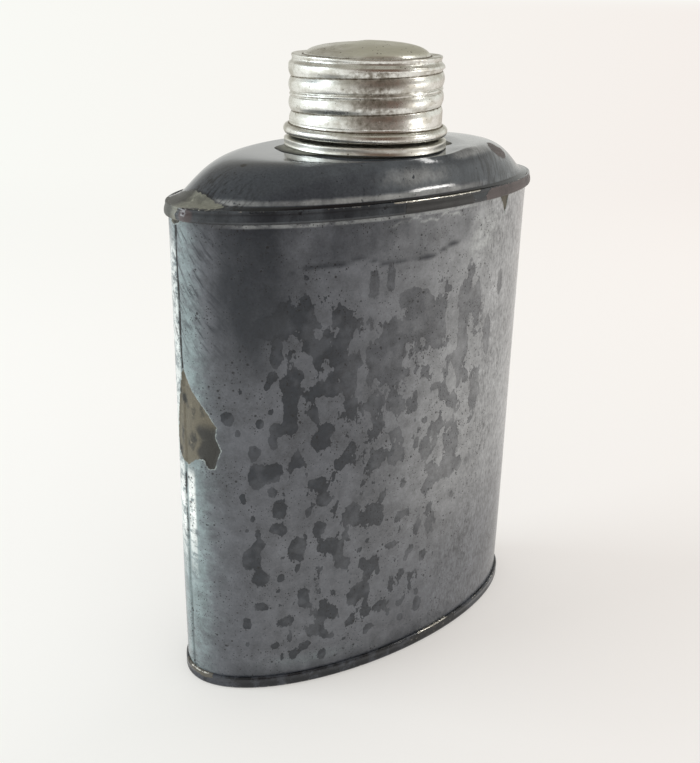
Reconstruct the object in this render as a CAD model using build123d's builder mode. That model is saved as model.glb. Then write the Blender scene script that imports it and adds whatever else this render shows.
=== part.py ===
"""Oval pocket flask of enamelled sheet steel with a threaded aluminium screw cap.

The origin is under the middle of the flask, on the surface that it stands on. X runs along the
wide side, Y through the thickness and Z up the neck's axis. All lengths are in millimetres.
"""
import os

from build123d import *

# Oval body, measured outside the wall
BODY_WIDTH = 101.6
BODY_DEPTH = 45.8
RIM_HEIGHT = 120.0
SHEET = 0.8
FOLD_CLEARANCE = 0.05
LAP_STEP = 0.3
LAP_WIDTH = 7.0

# Folded rim that joins the shoulder to the body
RIM_OVERHANG = 1.25
RIM_DEPTH = 2.9
RIM_ROUNDING = 0.35
RIM_GROOVE_WIDTH = 0.5
RIM_GROOVE_DEPTH = 0.4

# Stamped dome of the shoulder
DOME_FOOT_INSET_X = 1.95
DOME_FOOT_INSET_Y = 0.6
DOME_FOOT_RISE = 0.65
SEAT_RISE = 8.4
SEAT_MARGIN = 0.5
SEAT_STRETCH = 5.8
DOME_IN_SHARES = (0, 0.1, 0.2, 0.32, 0.45, 0.6, 0.78, 1)
DOME_FLANK_SHARE = 3.5
DOME_CROWN_SHARE = 1.5
DOME_ROUNDING_SHARE = 0.6

# Base pan
PAN_BAND_HEIGHT = 3.1
PAN_RECESS = 0.8
PAN_RING_WIDTH = 2.4
PAN_ROUNDING = 0.5

# Threaded neck and its flange
NECK_BORE_RADIUS = 15.8
NECK_WALL = 0.8
NECK_TAIL = 0.9
NECK_RISE = 15.9
FLANGE_WIDTH = 2.5
FLANGE_SHEET = 0.6
FLANGE_EDGE_HEIGHT = 1.4
FLANGE_EDGE_WIDTH = 0.7
FLANGE_LIFT = 2.0

# Solder under the flange
SOLDER_SPREAD = 0.6
SOLDER_FOOT_HEIGHT = 0.15

# Thread, right-hand
THREAD_PITCH = 3.85
THREAD_HEIGHT = 0.6
THREAD_RADIAL_GAP = 0.3
THREAD_FLANK_GAP = 0.3
THREAD_ROOT_BITE = 0.2
NECK_RIB_BASE = 1.5
NECK_RIB_CREST = 0.7
NECK_RIB_START = 3.45
NECK_RIB_START_ANGLE = -180
NECK_RIB_TOP_MARGIN = 1.85
CAP_RIB_BASE = 1.9
CAP_RIB_CREST = 0.9
CAP_RIB_START_ANGLE = 60
CAP_RIB_TOP_MARGIN = 1.65
CAP_GROOVE_MOUTH = 1.8
CAP_GROOVE_FLOOR = 0.5
CAP_GROOVE_OVERRUN = 0.3

# Screw cap
CAP_WALL = 0.5
CAP_LIFT = 0.4
CAP_BEAD_RADIUS = 1.05
CAP_BEAD_PROUD = 1.25
CAP_LIP_HEIGHT = 0.9
CAP_LIP_INSET = 0.9
CAP_SHOULDER_ROUNDING = 0.6
CAP_CROWN_INSET = 2.5
CAP_CROWN_RISE = 3.2
CAP_CROWN_FLAT_SHARE = 0.62
CAP_CROWN_SIDE_SHARE = 0.88
CAP_CROWN_FLANK_SHARE = 0.6
LINER_THICKNESS = 1.5
LINER_SIDE_GAP = 0.3
LINER_TOP_GAP = 0.05

# One overrun for every cut that has to pass a face
OVERRUN = 1.0

# Places that follow from the sizes above
BODY_A = BODY_WIDTH / 2
BODY_B = BODY_DEPTH / 2
LEDGE_UNDER = RIM_HEIGHT - SHEET
PAN_FLOOR = PAN_RECESS + SHEET
PAN_OVERHANG = FOLD_CLEARANCE + SHEET
SEAT_HEIGHT = RIM_HEIGHT + SEAT_RISE
NECK_RADIUS = NECK_BORE_RADIUS + NECK_WALL
NECK_BOTTOM = SEAT_HEIGHT - SHEET - NECK_TAIL
FLANGE_RADIUS = NECK_RADIUS + FLANGE_WIDTH
SOLDER_RADIUS = FLANGE_RADIUS + SOLDER_SPREAD
SEAT_HALF_DEPTH = SOLDER_RADIUS + SEAT_MARGIN
SEAT_HALF_WIDTH = SEAT_HALF_DEPTH + SEAT_STRETCH
FLANGE_UNDER = SEAT_HEIGHT + FLANGE_LIFT
FLANGE_TOP = FLANGE_UNDER + FLANGE_SHEET
NECK_TOP = FLANGE_TOP + NECK_RISE
CAP_INNER_RADIUS = NECK_RADIUS + THREAD_HEIGHT + THREAD_RADIAL_GAP
CAP_RADIUS = CAP_INNER_RADIUS + CAP_WALL
CAP_BOTTOM = FLANGE_TOP + CAP_LIFT
CAP_SEAT = NECK_TOP + LINER_THICKNESS + LINER_TOP_GAP
CAP_LIP_TOP = CAP_SEAT + CAP_WALL
CAP_LIP_BOTTOM = CAP_LIP_TOP - CAP_LIP_HEIGHT
CAP_LIP_RADIUS = CAP_RADIUS - CAP_LIP_INSET
CAP_CROWN_RADIUS = CAP_LIP_RADIUS - CAP_CROWN_INSET
LINER_RADIUS = CAP_LIP_RADIUS - CAP_WALL - LINER_SIDE_GAP

# Where the two ribs start: the cap's lies one flank gap under the neck's
NECK_RIB_HEIGHT = FLANGE_TOP + NECK_RIB_START
NECK_RIB_TURNS = (NECK_RISE - NECK_RIB_START - NECK_RIB_TOP_MARGIN) / THREAD_PITCH
RIB_STAGGER = NECK_RIB_BASE / 2 + CAP_RIB_CREST / 2 + THREAD_FLANK_GAP
RIB_TURN_APART = (CAP_RIB_START_ANGLE - NECK_RIB_START_ANGLE) / 360
CAP_RIB_HEIGHT = NECK_RIB_HEIGHT - RIB_STAGGER + THREAD_PITCH * RIB_TURN_APART
CAP_RIB_TURNS = (CAP_LIP_BOTTOM - CAP_RIB_TOP_MARGIN - CAP_RIB_HEIGHT) / THREAD_PITCH


def oval(grow, mode=Mode.ADD):
    """The body's oval outline, grown evenly by a length, in the current sketch."""
    return Ellipse(BODY_A + grow, BODY_B + grow, mode=mode)


def dome_rings(inset):
    """Half width, half depth and height of each ring of the dome, inset for the inner face."""
    foot_a = BODY_A - DOME_FOOT_INSET_X
    foot_b = BODY_B - DOME_FOOT_INSET_Y
    rings = []
    for in_share in DOME_IN_SHARES:
        rise_share = (1 - (1 - in_share) ** DOME_FLANK_SHARE) ** DOME_CROWN_SHARE
        depth_share = in_share + (rise_share**2 - in_share) * DOME_ROUNDING_SHARE
        half_width = foot_a + (SEAT_HALF_WIDTH - foot_a) * in_share
        half_depth = foot_b + (SEAT_HALF_DEPTH - foot_b) * depth_share
        height = RIM_HEIGHT + DOME_FOOT_RISE + (SEAT_RISE - DOME_FOOT_RISE) * rise_share
        rings.append((half_width - inset, half_depth - inset, height - inset))
    return rings


def lofted_rings(rings, ruled=False):
    """A solid that passes through level ovals."""
    with BuildPart() as lofted:
        for half_width, half_depth, height in rings:
            with BuildSketch(Plane.XY.offset(height)):
                Ellipse(half_width, half_depth)
        loft(ruled=ruled)
    return lofted.part


def crown(radius, base_height):
    """The cap's low crown as a solid, level at its middle and steep at its foot."""
    top = base_height + CAP_CROWN_RISE
    flank_height = base_height + CAP_CROWN_RISE * CAP_CROWN_FLANK_SHARE
    with BuildPart() as dome:
        with BuildSketch(Plane.XZ):
            with BuildLine():
                Bezier(
                    (0, top),
                    (radius * CAP_CROWN_FLAT_SHARE, top),
                    (radius * CAP_CROWN_SIDE_SHARE, flank_height),
                    (radius, base_height),
                )
                Polyline((radius, base_height), (0, base_height), (0, top))
            make_face()
        revolve(axis=Axis.Z)
    return dome.part


def helical_rib(root_radius, tip_radius, root_width, tip_width, start_height, start_angle, turns):
    """A rib that winds right-handed round Z, its section a trapezium from root to tip."""
    with BuildPart() as rib:
        with BuildLine() as path:
            Helix(THREAD_PITCH, THREAD_PITCH * turns, root_radius, center=(0, 0, start_height))
        section_plane = Plane(path.line @ 0, x_dir=(1, 0, 0), z_dir=path.line % 0)
        with BuildSketch(section_plane):
            with BuildLine():
                Polyline(
                    (0, -root_width / 2),
                    (tip_radius - root_radius, -tip_width / 2),
                    (tip_radius - root_radius, tip_width / 2),
                    (0, root_width / 2),
                    close=True,
                )
            make_face()
        sweep(path=path.line, is_frenet=True)
    return rib.part.rotate(Axis.Z, start_angle)


os.makedirs("parts", exist_ok=True)

# Body: the sheet is wrapped to an oval and lapped at the narrow end at -X, and its top edge is
# turned out into the hook that the shoulder's rim folds over.
with BuildPart() as body_shell:
    with BuildSketch(Plane.XY.offset(PAN_FLOOR)):
        oval(0)
        oval(-SHEET, mode=Mode.SUBTRACT)
    extrude(amount=LEDGE_UNDER - PAN_FLOOR)
    with BuildSketch(Plane.XY.offset(PAN_BAND_HEIGHT + FOLD_CLEARANCE)):
        oval(LAP_STEP)
        with Locations((-BODY_A, LAP_WIDTH / 2)):
            Rectangle(BODY_A, LAP_WIDTH, mode=Mode.INTERSECT)
        oval(-SHEET / 2, mode=Mode.SUBTRACT)
    extrude(amount=RIM_HEIGHT - RIM_DEPTH - PAN_BAND_HEIGHT - 2 * FOLD_CLEARANCE)
    with BuildSketch(Plane.XY.offset(LEDGE_UNDER - SHEET)):
        oval(RIM_OVERHANG - SHEET - FOLD_CLEARANCE)
        oval(-SHEET, mode=Mode.SUBTRACT)
    extrude(amount=SHEET)
body_shell.part.label = "body_shell"
export_step(body_shell.part, "parts/body_shell.step")

# Shoulder: one stamping with a rim turned down over the body's hook, a ledge with a groove inside
# the rim, and a dome that closes in from the oval to the round seat of the neck.
ledge_slope = lofted_rings([(BODY_A, BODY_B, RIM_HEIGHT), dome_rings(0)[0]], ruled=True)
dome_outside = lofted_rings(dome_rings(0))
dome_inside = lofted_rings(dome_rings(SHEET))
with BuildPart() as shoulder:
    with BuildSketch(Plane.XY.offset(RIM_HEIGHT - RIM_DEPTH)):
        oval(RIM_OVERHANG)
        oval(RIM_OVERHANG - SHEET, mode=Mode.SUBTRACT)
    extrude(amount=RIM_DEPTH)
    rim_edges = shoulder.edges().group_by(SortBy.LENGTH)[-1]
    fillet(rim_edges, radius=RIM_ROUNDING)
    with BuildSketch(Plane.XY.offset(LEDGE_UNDER)):
        oval(RIM_OVERHANG - SHEET)
    extrude(amount=SHEET)
    add(ledge_slope)
    add(dome_outside)
    with BuildSketch(Plane.XY.offset(RIM_HEIGHT)):
        oval(RIM_OVERHANG - SHEET)
        oval(RIM_OVERHANG - SHEET - RIM_GROOVE_WIDTH, mode=Mode.SUBTRACT)
    extrude(amount=-RIM_GROOVE_DEPTH, mode=Mode.SUBTRACT)
    add(dome_inside, mode=Mode.SUBTRACT)
    foot_a, foot_b, foot_height = dome_rings(SHEET)[0]
    with BuildSketch(Plane.XY.offset(foot_height)):
        Ellipse(foot_a, foot_b)
    extrude(amount=LEDGE_UNDER - foot_height - OVERRUN, mode=Mode.SUBTRACT)
    with BuildSketch(Plane.XY.offset(SEAT_HEIGHT - SHEET - OVERRUN)):
        Circle(NECK_RADIUS + FOLD_CLEARANCE)
    extrude(amount=SHEET + 2 * OVERRUN, mode=Mode.SUBTRACT)
shoulder.part.label = "shoulder"
export_step(shoulder.part, "parts/shoulder.step")

# Base pan: a shallow pan that takes the body's lower end, standing on the ring of its turned edge.
with BuildPart() as base_pan:
    with BuildSketch():
        oval(PAN_OVERHANG)
    extrude(amount=PAN_BAND_HEIGHT)
    fillet(base_pan.edges().sort_by(Axis.Z)[0], radius=PAN_ROUNDING)
    with BuildSketch(Plane.XY.offset(PAN_FLOOR)):
        oval(FOLD_CLEARANCE)
    extrude(amount=PAN_BAND_HEIGHT, mode=Mode.SUBTRACT)
    with BuildSketch():
        oval(PAN_OVERHANG - PAN_RING_WIDTH)
    extrude(amount=PAN_RECESS, mode=Mode.SUBTRACT)
base_pan.part.label = "base_pan"
export_step(base_pan.part, "parts/base_pan.step")

# Neck: a threaded tube through the shoulder's seat, with a flange whose edge is turned down.
neck_rib = helical_rib(
    NECK_RADIUS - THREAD_ROOT_BITE, NECK_RADIUS + THREAD_HEIGHT, NECK_RIB_BASE, NECK_RIB_CREST,
    NECK_RIB_HEIGHT, NECK_RIB_START_ANGLE, NECK_RIB_TURNS,
)
with BuildPart() as neck_collar:
    with BuildSketch(Plane.XY.offset(NECK_BOTTOM)):
        Circle(NECK_RADIUS)
    extrude(amount=NECK_TOP - NECK_BOTTOM)
    with BuildSketch(Plane.XY.offset(FLANGE_UNDER)):
        Circle(FLANGE_RADIUS)
    extrude(amount=FLANGE_SHEET)
    with BuildSketch(Plane.XY.offset(FLANGE_TOP)):
        Circle(FLANGE_RADIUS)
        Circle(FLANGE_RADIUS - FLANGE_EDGE_WIDTH, mode=Mode.SUBTRACT)
    extrude(amount=-FLANGE_EDGE_HEIGHT)
    add(neck_rib)
    with BuildSketch(Plane.XY.offset(NECK_BOTTOM)):
        Circle(NECK_BORE_RADIUS)
    extrude(amount=NECK_TOP - NECK_BOTTOM, mode=Mode.SUBTRACT)
neck_collar.part.label = "neck_collar"
export_step(neck_collar.part, "parts/neck_collar.step")

# Solder: a fillet that fills the space under the flange and spreads on the seat.
solder_bore = NECK_RADIUS + FOLD_CLEARANCE
solder_waist = FLANGE_RADIUS - FLANGE_EDGE_WIDTH - FOLD_CLEARANCE
flange_edge_bottom = FLANGE_TOP - FLANGE_EDGE_HEIGHT
with BuildPart() as neck_solder:
    with BuildSketch(Plane.XZ):
        with BuildLine():
            Polyline(
                (solder_bore, SEAT_HEIGHT),
                (SOLDER_RADIUS, SEAT_HEIGHT),
                (SOLDER_RADIUS, SEAT_HEIGHT + SOLDER_FOOT_HEIGHT),
                (solder_waist, flange_edge_bottom - FOLD_CLEARANCE),
                (solder_waist, FLANGE_UNDER),
                (solder_bore, FLANGE_UNDER),
                close=True,
            )
        make_face()
    revolve(axis=Axis.Z)
neck_solder.part.label = "neck_solder"
export_step(neck_solder.part, "parts/neck_solder.step")

# Liner: the disc that seals on the neck's rim.
with BuildPart() as cap_liner:
    with BuildSketch(Plane.XY.offset(NECK_TOP)):
        Circle(LINER_RADIUS)
    extrude(amount=LINER_THICKNESS)
cap_liner.part.label = "cap_liner"
export_step(cap_liner.part, "parts/cap_liner.step")

# Cap: a spun shell with a rolled lower edge, a lip and a low crown. The thread is rolled through
# the wall, so a groove outside backs each rib inside, one flank gap under the neck's rib.
cap_rib = helical_rib(
    CAP_INNER_RADIUS + THREAD_ROOT_BITE, CAP_INNER_RADIUS - THREAD_HEIGHT, CAP_RIB_BASE,
    CAP_RIB_CREST, CAP_RIB_HEIGHT, CAP_RIB_START_ANGLE, CAP_RIB_TURNS,
)
cap_groove = helical_rib(
    CAP_RADIUS + CAP_GROOVE_OVERRUN, CAP_RADIUS - THREAD_HEIGHT, CAP_GROOVE_MOUTH,
    CAP_GROOVE_FLOOR, CAP_RIB_HEIGHT, CAP_RIB_START_ANGLE, CAP_RIB_TURNS,
)
crown_outside = crown(CAP_CROWN_RADIUS, CAP_LIP_TOP)
crown_inside = crown(CAP_CROWN_RADIUS - CAP_WALL, CAP_SEAT)
with BuildPart() as screw_cap:
    with BuildSketch(Plane.XZ):
        with BuildLine():
            Polyline(
                (0, CAP_LIP_TOP),
                (0, CAP_BOTTOM),
                (CAP_RADIUS, CAP_BOTTOM),
                (CAP_RADIUS, CAP_LIP_BOTTOM),
                (CAP_LIP_RADIUS, CAP_LIP_BOTTOM),
                (CAP_LIP_RADIUS, CAP_LIP_TOP),
                close=True,
            )
        make_face()
        with Locations((CAP_RADIUS + CAP_BEAD_PROUD - CAP_BEAD_RADIUS, CAP_BOTTOM + CAP_BEAD_RADIUS)):
            Circle(CAP_BEAD_RADIUS)
    revolve(axis=Axis.Z)
    add(crown_outside)
    cap_corner = screw_cap.edges().filter_by_position(Axis.Z, CAP_LIP_BOTTOM, CAP_LIP_BOTTOM)
    fillet(cap_corner.sort_by(SortBy.LENGTH)[-1], radius=CAP_SHOULDER_ROUNDING)
    with BuildSketch(Plane.XY.offset(CAP_BOTTOM - OVERRUN)):
        Circle(CAP_INNER_RADIUS)
    extrude(amount=CAP_LIP_BOTTOM - CAP_WALL - CAP_BOTTOM + OVERRUN, mode=Mode.SUBTRACT)
    with BuildSketch(Plane.XY.offset(CAP_BOTTOM)):
        Circle(CAP_LIP_RADIUS - CAP_WALL)
    extrude(amount=CAP_SEAT - CAP_BOTTOM, mode=Mode.SUBTRACT)
    add(crown_inside, mode=Mode.SUBTRACT)
    add(cap_rib)
    add(cap_groove, mode=Mode.SUBTRACT)
screw_cap.part.label = "screw_cap"
export_step(screw_cap.part, "parts/screw_cap.step")
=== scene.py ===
"""Looks of an old pocket flask: mottled enamelled sheet steel with a spun aluminium screw cap."""
import math

import bpy
import numpy as np
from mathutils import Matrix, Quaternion, Vector


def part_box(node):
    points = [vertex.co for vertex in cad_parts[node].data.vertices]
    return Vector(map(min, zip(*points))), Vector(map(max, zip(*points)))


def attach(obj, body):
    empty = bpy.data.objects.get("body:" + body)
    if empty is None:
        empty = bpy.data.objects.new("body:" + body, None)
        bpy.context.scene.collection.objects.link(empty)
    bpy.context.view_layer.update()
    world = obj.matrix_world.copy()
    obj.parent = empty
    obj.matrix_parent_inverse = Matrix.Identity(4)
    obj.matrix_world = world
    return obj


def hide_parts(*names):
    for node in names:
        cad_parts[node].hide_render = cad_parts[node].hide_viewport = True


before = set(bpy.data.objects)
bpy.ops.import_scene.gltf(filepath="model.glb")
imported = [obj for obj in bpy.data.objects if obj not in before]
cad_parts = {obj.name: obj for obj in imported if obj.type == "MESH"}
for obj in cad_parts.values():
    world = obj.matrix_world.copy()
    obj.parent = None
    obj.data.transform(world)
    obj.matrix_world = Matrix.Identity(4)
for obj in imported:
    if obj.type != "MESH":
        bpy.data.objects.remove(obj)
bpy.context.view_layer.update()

MM = 0.001

# Camera: the photograph's view, from in front on the left and a little above. The sensor's
# length lies along the long side of the 700 by 763 pixel frame.
PHOTO_LONG_SIDE, FOCAL_PIXELS, SENSOR_LENGTH = 763, 1009.5, 36.0
CAMERA_AZIMUTH, CAMERA_ELEVATION = math.radians(-38.17), math.radians(21.55)
CAMERA_ROLL = math.radians(1.25)
CAMERA_DISTANCE = 259.0 * MM
CAMERA_TARGET = Vector((-2.9, 0, 69.1)) * MM


def direction(azimuth, elevation):
    """The way from the flask to a place round it; azimuth 0 is straight in front."""
    level = math.cos(elevation)
    return Vector((math.sin(azimuth) * level, -math.cos(azimuth) * level, math.sin(elevation)))


camera_data = bpy.data.cameras.new("camera")
camera_data.sensor_width = SENSOR_LENGTH
camera_data.lens = FOCAL_PIXELS / PHOTO_LONG_SIDE * SENSOR_LENGTH
camera_data.clip_start = 10 * MM
camera = bpy.data.objects.new("camera", camera_data)
bpy.context.scene.collection.objects.link(camera)
back_of_camera = direction(CAMERA_AZIMUTH, CAMERA_ELEVATION)
camera.location = CAMERA_TARGET + back_of_camera * CAMERA_DISTANCE
camera.rotation_mode = "QUATERNION"
upright = (-back_of_camera).to_track_quat("-Z", "Y")
camera.rotation_quaternion = upright @ Quaternion((0, 0, 1), CAMERA_ROLL)
bpy.context.scene.camera = camera
bpy.context.scene.view_settings.view_transform = "Standard"

# Studio: a pale paper floor in even light, a big cool window behind on the left and a broad warm
# lamp on the right. Dull cards stand for the unlit room and small bright ones for two far lamps.
# Only glossy surfaces show the cards.
PAPER = (0.97, 0.955, 0.925, 1)
PAPER_COOL = (0.95, 0.955, 0.915, 1)
# The warmer, darker paper colour of the painted lamplight and shadow on the camera's right.
PAPER_WARM = (0.915, 0.862, 0.822, 1)
PAPER_GLOW_NEAR = 0.4
PAPER_GLOW_FROM, PAPER_GLOW_TO = 0.12, 0.7
PAPER_ROUND_FROM, PAPER_ROUND_TO = 0.6, 1.2
# Where the painted warm lamplight and shadow lies on the paper.
PAPER_TINT_FROM, PAPER_TINT_TO = 6.0, 26.0
PAPER_TINT_NEAR, PAPER_TINT_FRONT = -0.08, -0.4
PAPER_TINT_REACH, PAPER_TINT_START = 0.35, 0.24
FLOOR_HALF = 30.0
ROOM_LIGHT, ROOM_LIGHT_STRENGTH = (1.0, 0.98, 0.965, 1), 0.7
CARD_PANELS = 12
CEILING_HEIGHT, CEILING_RADII, CEILING_SIDES = 0.8, (1.1, 2.6), 48


class Value:
    """A number, colour or place in a shader's tree. What is worked out with it becomes nodes."""

    def __init__(self, tree, socket):
        self.tree, self.socket = tree, socket

    def through(self, kind, values=None, output=0, **settings):
        """What a new node makes of this value and others."""
        return add_node(self.tree, kind, {0: self, **(values or {})}, output, **settings)

    def beside(self, output):
        """Another output of the node that this value comes from."""
        return Value(self.tree, self.socket.node.outputs[output])

    def __add__(self, other):
        return self.through("Math", {1: other}, operation="ADD")

    def __sub__(self, other):
        return self.through("Math", {1: other}, operation="SUBTRACT")

    def __mul__(self, other):
        return self.through("Math", {1: other}, operation="MULTIPLY")

    def __truediv__(self, other):
        return self.through("Math", {1: other}, operation="DIVIDE")

    def or_more(self, other):
        """The greater of two numbers."""
        return self.through("Math", {1: other}, operation="MAXIMUM")

    def step(self, low, high, kind="SMOOTHSTEP"):
        """0 below low and 1 above high. It falls where low is the greater."""
        return self.through("MapRange", {1: low, 2: high}, interpolation_type=kind)

    def length(self):
        """How far a place is from the origin."""
        return self.through("VectorMath", output="Value", operation="LENGTH")


def add_node(tree, kind, values=None, output=0, **settings):
    """One output of a new node, with its sockets set to plain values or joined to other nodes."""
    made = tree.nodes.new("ShaderNode" + kind)
    for name, value in settings.items():
        setattr(made, name, value)
    for socket, value in (values or {}).items():
        if isinstance(value, Value):
            tree.links.new(value.socket, made.inputs[socket])
        else:
            made.inputs[socket].default_value = value
    return Value(tree, made.outputs[output])


def new_material(name):
    """A new material without nodes, and its tree."""
    material = bpy.data.materials.new(name)
    material.use_nodes = True
    material.node_tree.nodes.clear()
    return material, material.node_tree


def dress(piece, material, surface):
    """Ends a material with its surface and gives it to a piece."""
    end = material.node_tree.nodes.new("ShaderNodeOutputMaterial")
    material.node_tree.links.new(surface.socket, end.inputs["Surface"])
    piece.data.materials.append(material)


def blend(share, first, second):
    """A colour between two others."""
    return add_node(share.tree, "Mix", {0: share, 6: first, 7: second}, output=2, data_type="RGBA")


def seen_directly(tree):
    """1 for a ray from the camera, a mirror or glass, and 0 for a ray that only carries light."""
    camera_ray = add_node(tree, "LightPath", output="Is Camera Ray")
    glossy_ray, glass_ray = camera_ray.beside("Is Glossy Ray"), camera_ray.beside("Is Transmission Ray")
    return camera_ray.or_more(glossy_ray).or_more(glass_ray)


def add_piece(name, points, faces):
    """A smooth mesh object from points in millimetres."""
    mesh = bpy.data.meshes.new(name)
    mesh.from_pydata((np.asarray(points) * MM).tolist(), [], faces)
    mesh.shade_smooth()
    piece = bpy.data.objects.new(name, mesh)
    bpy.context.scene.collection.objects.link(piece)
    return piece


# The floor has shadows near the flask and an even glow farther off, cool on the left of the camera and
# warm on its right. The warmer, darker right side is painted lamplight and shadow from the warm lamp.
floor_corners = np.array([(-1, -1, 0), (1, -1, 0), (1, 1, 0), (-1, 1, 0)]) * FLOOR_HALF / MM
floor = add_piece("paper_floor", floor_corners, [(0, 1, 2, 3)])
paper, tree = new_material("paper")
floor_place = add_node(tree, "TexCoord", output="Object")
side_reach, far_reach = [
    floor_place.through("VectorMath", {1: way}, "Value", operation="DOT_PRODUCT")
    for way in (direction(CAMERA_AZIMUTH + math.pi / 2, 0), -direction(CAMERA_AZIMUTH, 0))
]
round_reach = floor_place.length()
# Painted warm lamplight and shadow: it fans out on the camera's right and fades towards the camera.
fan_width = (far_reach + PAPER_TINT_START).or_more(PAPER_TINT_START / 2)
warm_share = (side_reach / fan_width).step(-PAPER_TINT_REACH, PAPER_TINT_REACH, "LINEAR")
warm_share = warm_share * round_reach.step(PAPER_TINT_TO, PAPER_TINT_FROM)
warm_share = warm_share * far_reach.step(PAPER_TINT_FRONT, PAPER_TINT_NEAR)
glow = far_reach.step(PAPER_GLOW_FROM, PAPER_GLOW_TO) * (1 - PAPER_GLOW_NEAR) + PAPER_GLOW_NEAR
glow = glow.or_more(round_reach.step(PAPER_ROUND_FROM, PAPER_ROUND_TO))
dress(floor, paper, (seen_directly(tree) * glow).through("MixShader", {
    1: add_node(tree, "BsdfDiffuse", {"Color": PAPER}),
    2: add_node(tree, "Emission", {"Color": blend(warm_share, PAPER_COOL, PAPER_WARM)}),
}))

world = bpy.data.worlds.new("studio")
bpy.context.scene.world = world
world.use_nodes = True
tree = world.node_tree
tree.nodes.clear()
world_light = seen_directly(tree).through("MixShader", {
    1: add_node(tree, "Background", {"Color": ROOM_LIGHT, "Strength": ROOM_LIGHT_STRENGTH}),
    2: add_node(tree, "Background", {"Color": PAPER_COOL}),
})
world_end = tree.nodes.new("ShaderNodeOutputWorld")
tree.links.new(world_light.socket, world_end.inputs["Surface"])


def add_lamp(name, colour, watts, size, azimuth, elevation, distance, mirrored):
    """A rectangular soft lamp that faces the flask. Its angles are in degrees."""
    data = bpy.data.lights.new(name, "AREA")
    data.shape = "RECTANGLE"
    data.size, data.size_y = size
    data.color = colour
    data.energy = watts
    lamp = bpy.data.objects.new(name, data)
    lamp.visible_glossy = mirrored
    bpy.context.scene.collection.objects.link(lamp)
    outward = direction(math.radians(azimuth), math.radians(elevation))
    lamp.location = CAMERA_TARGET + outward * distance
    lamp.rotation_mode = "QUATERNION"
    lamp.rotation_quaternion = (-outward).to_track_quat("-Z", "Y")


add_lamp(
    "window", colour=(0.86, 0.95, 1.0), watts=4.5, size=(0.55, 0.6), azimuth=-120, elevation=22,
    distance=0.9, mirrored=True,
)
add_lamp(
    "warm_lamp", colour=(1.0, 0.965, 0.92), watts=1.7, size=(0.6, 0.6), azimuth=98, elevation=30,
    distance=0.9, mirrored=False,
)


def keep_values(piece, poles=0, **kept):
    """Stores numbers for each point of a piece under their names, for its material to read."""
    for name, values in kept.items():
        values = np.concatenate([np.asarray(values, float).ravel(), np.zeros(poles)])
        piece.data.attributes.new(name, "FLOAT", "POINT").data.foreach_set("value", values)


def stored(tree, name):
    """A number that a piece stores for each of its points."""
    return add_node(tree, "Attribute", output="Fac", attribute_name=name)


def around(turn, radius, height):
    """A place round the flask, in metres."""
    return direction(turn, 0) * radius + Vector((0, 0, height))


def add_card(name, points, faces, colour, fading):
    """A card that shows only in glossy surfaces and gives or takes no light otherwise."""
    card = add_piece(name, np.array(points) / MM, faces)
    keep_values(card, fading=fading)
    material, tree = new_material(name)
    dress(card, material, stored(tree, "fading").through("MixShader", {
        1: add_node(tree, "Emission", {"Color": colour}), 2: add_node(tree, "BsdfTransparent"),
    }))
    card.visible_camera = False
    card.visible_diffuse = False
    card.visible_shadow = False
    card.visible_transmission = False


def add_bent_card(name, radius, turns, heights, colour, fade_panels):
    """A card bent round the flask between two azimuths in degrees and from one height to another.
    It is clear at its ends, and above its second height it fades out to a third, if it has one."""
    stations = np.radians(np.linspace(*turns, CARD_PANELS + 1))
    from_end = np.minimum(np.arange(CARD_PANELS + 1), np.arange(CARD_PANELS, -1, -1))
    showing = np.tile(np.clip(from_end / fade_panels, 0, 1), (len(heights), 1))
    showing[2:] = 0
    points = [around(turn, radius, height) for height in heights for turn in stations]
    across = CARD_PANELS + 1
    faces = [
        (i, i + 1, i + 1 + across, i + across)
        for start in range(0, across * (len(heights) - 1), across)
        for i in range(start, start + CARD_PANELS)
    ]
    add_card(name, points, faces, colour, 1 - showing)


add_bent_card(
    "brown_card", radius=0.45, turns=(-78, 54), heights=(0, 0.5, 0.85), colour=(0.15, 0.095, 0.07, 1),
    fade_panels=4,
)
add_bent_card(
    "rear_card", radius=0.46, turns=(-158, -100), heights=(0.27, 0.45, 0.8), colour=(0.1, 0.105, 0.11, 1),
    fade_panels=4,
)
add_bent_card(
    "streak_card", radius=0.44, turns=(31, 52), heights=(0.102, 0.124), colour=(25, 24.3, 23.4, 1),
    fade_panels=3,
)
add_bent_card(
    "spot_card", radius=0.5, turns=(49, 56.5), heights=(0.4, 0.6), colour=(15, 14.8, 14.4, 1),
    fade_panels=3,
)


def turns_of(columns):
    """The angle of each of a ring's columns, anticlockwise from the flask's right end."""
    return np.linspace(0, 2 * math.pi, columns, endpoint=False)


ceiling_rims = [
    around(turn, radius, CEILING_HEIGHT) for radius in CEILING_RADII for turn in turns_of(CEILING_SIDES)
]
ceiling_faces = [
    (i, (i + 1) % CEILING_SIDES, (i + 1) % CEILING_SIDES + CEILING_SIDES, i + CEILING_SIDES)
    for i in range(CEILING_SIDES)
]
ceiling_faces.append(tuple(range(CEILING_SIDES)))
add_card(
    "ceiling_card", ceiling_rims, ceiling_faces, colour=(0.42, 0.4, 0.35, 1),
    fading=np.repeat([0.0, 1.0], CEILING_SIDES),
)

# Wall: one sheet of thin steel wrapped to an oval and lapped at the narrow end, then dipped in
# a slate grey enamel that ran and beaded as it was fired, which left darker curtains and drops.
# At the lap a large flake of enamel has broken off down to the brown metal.
RIM_OVERHANG = 1.25
rim_low, rim_high = [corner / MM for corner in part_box("shoulder")]
wall_low, wall_high = [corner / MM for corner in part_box("body_shell")]
HALF_WIDTH = rim_high.x - RIM_OVERHANG
HALF_DEPTH = rim_high.y - RIM_OVERHANG
RIM_UNDER = rim_low.z
SHEET = 0.8
WALL_COLUMNS = 480
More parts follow.
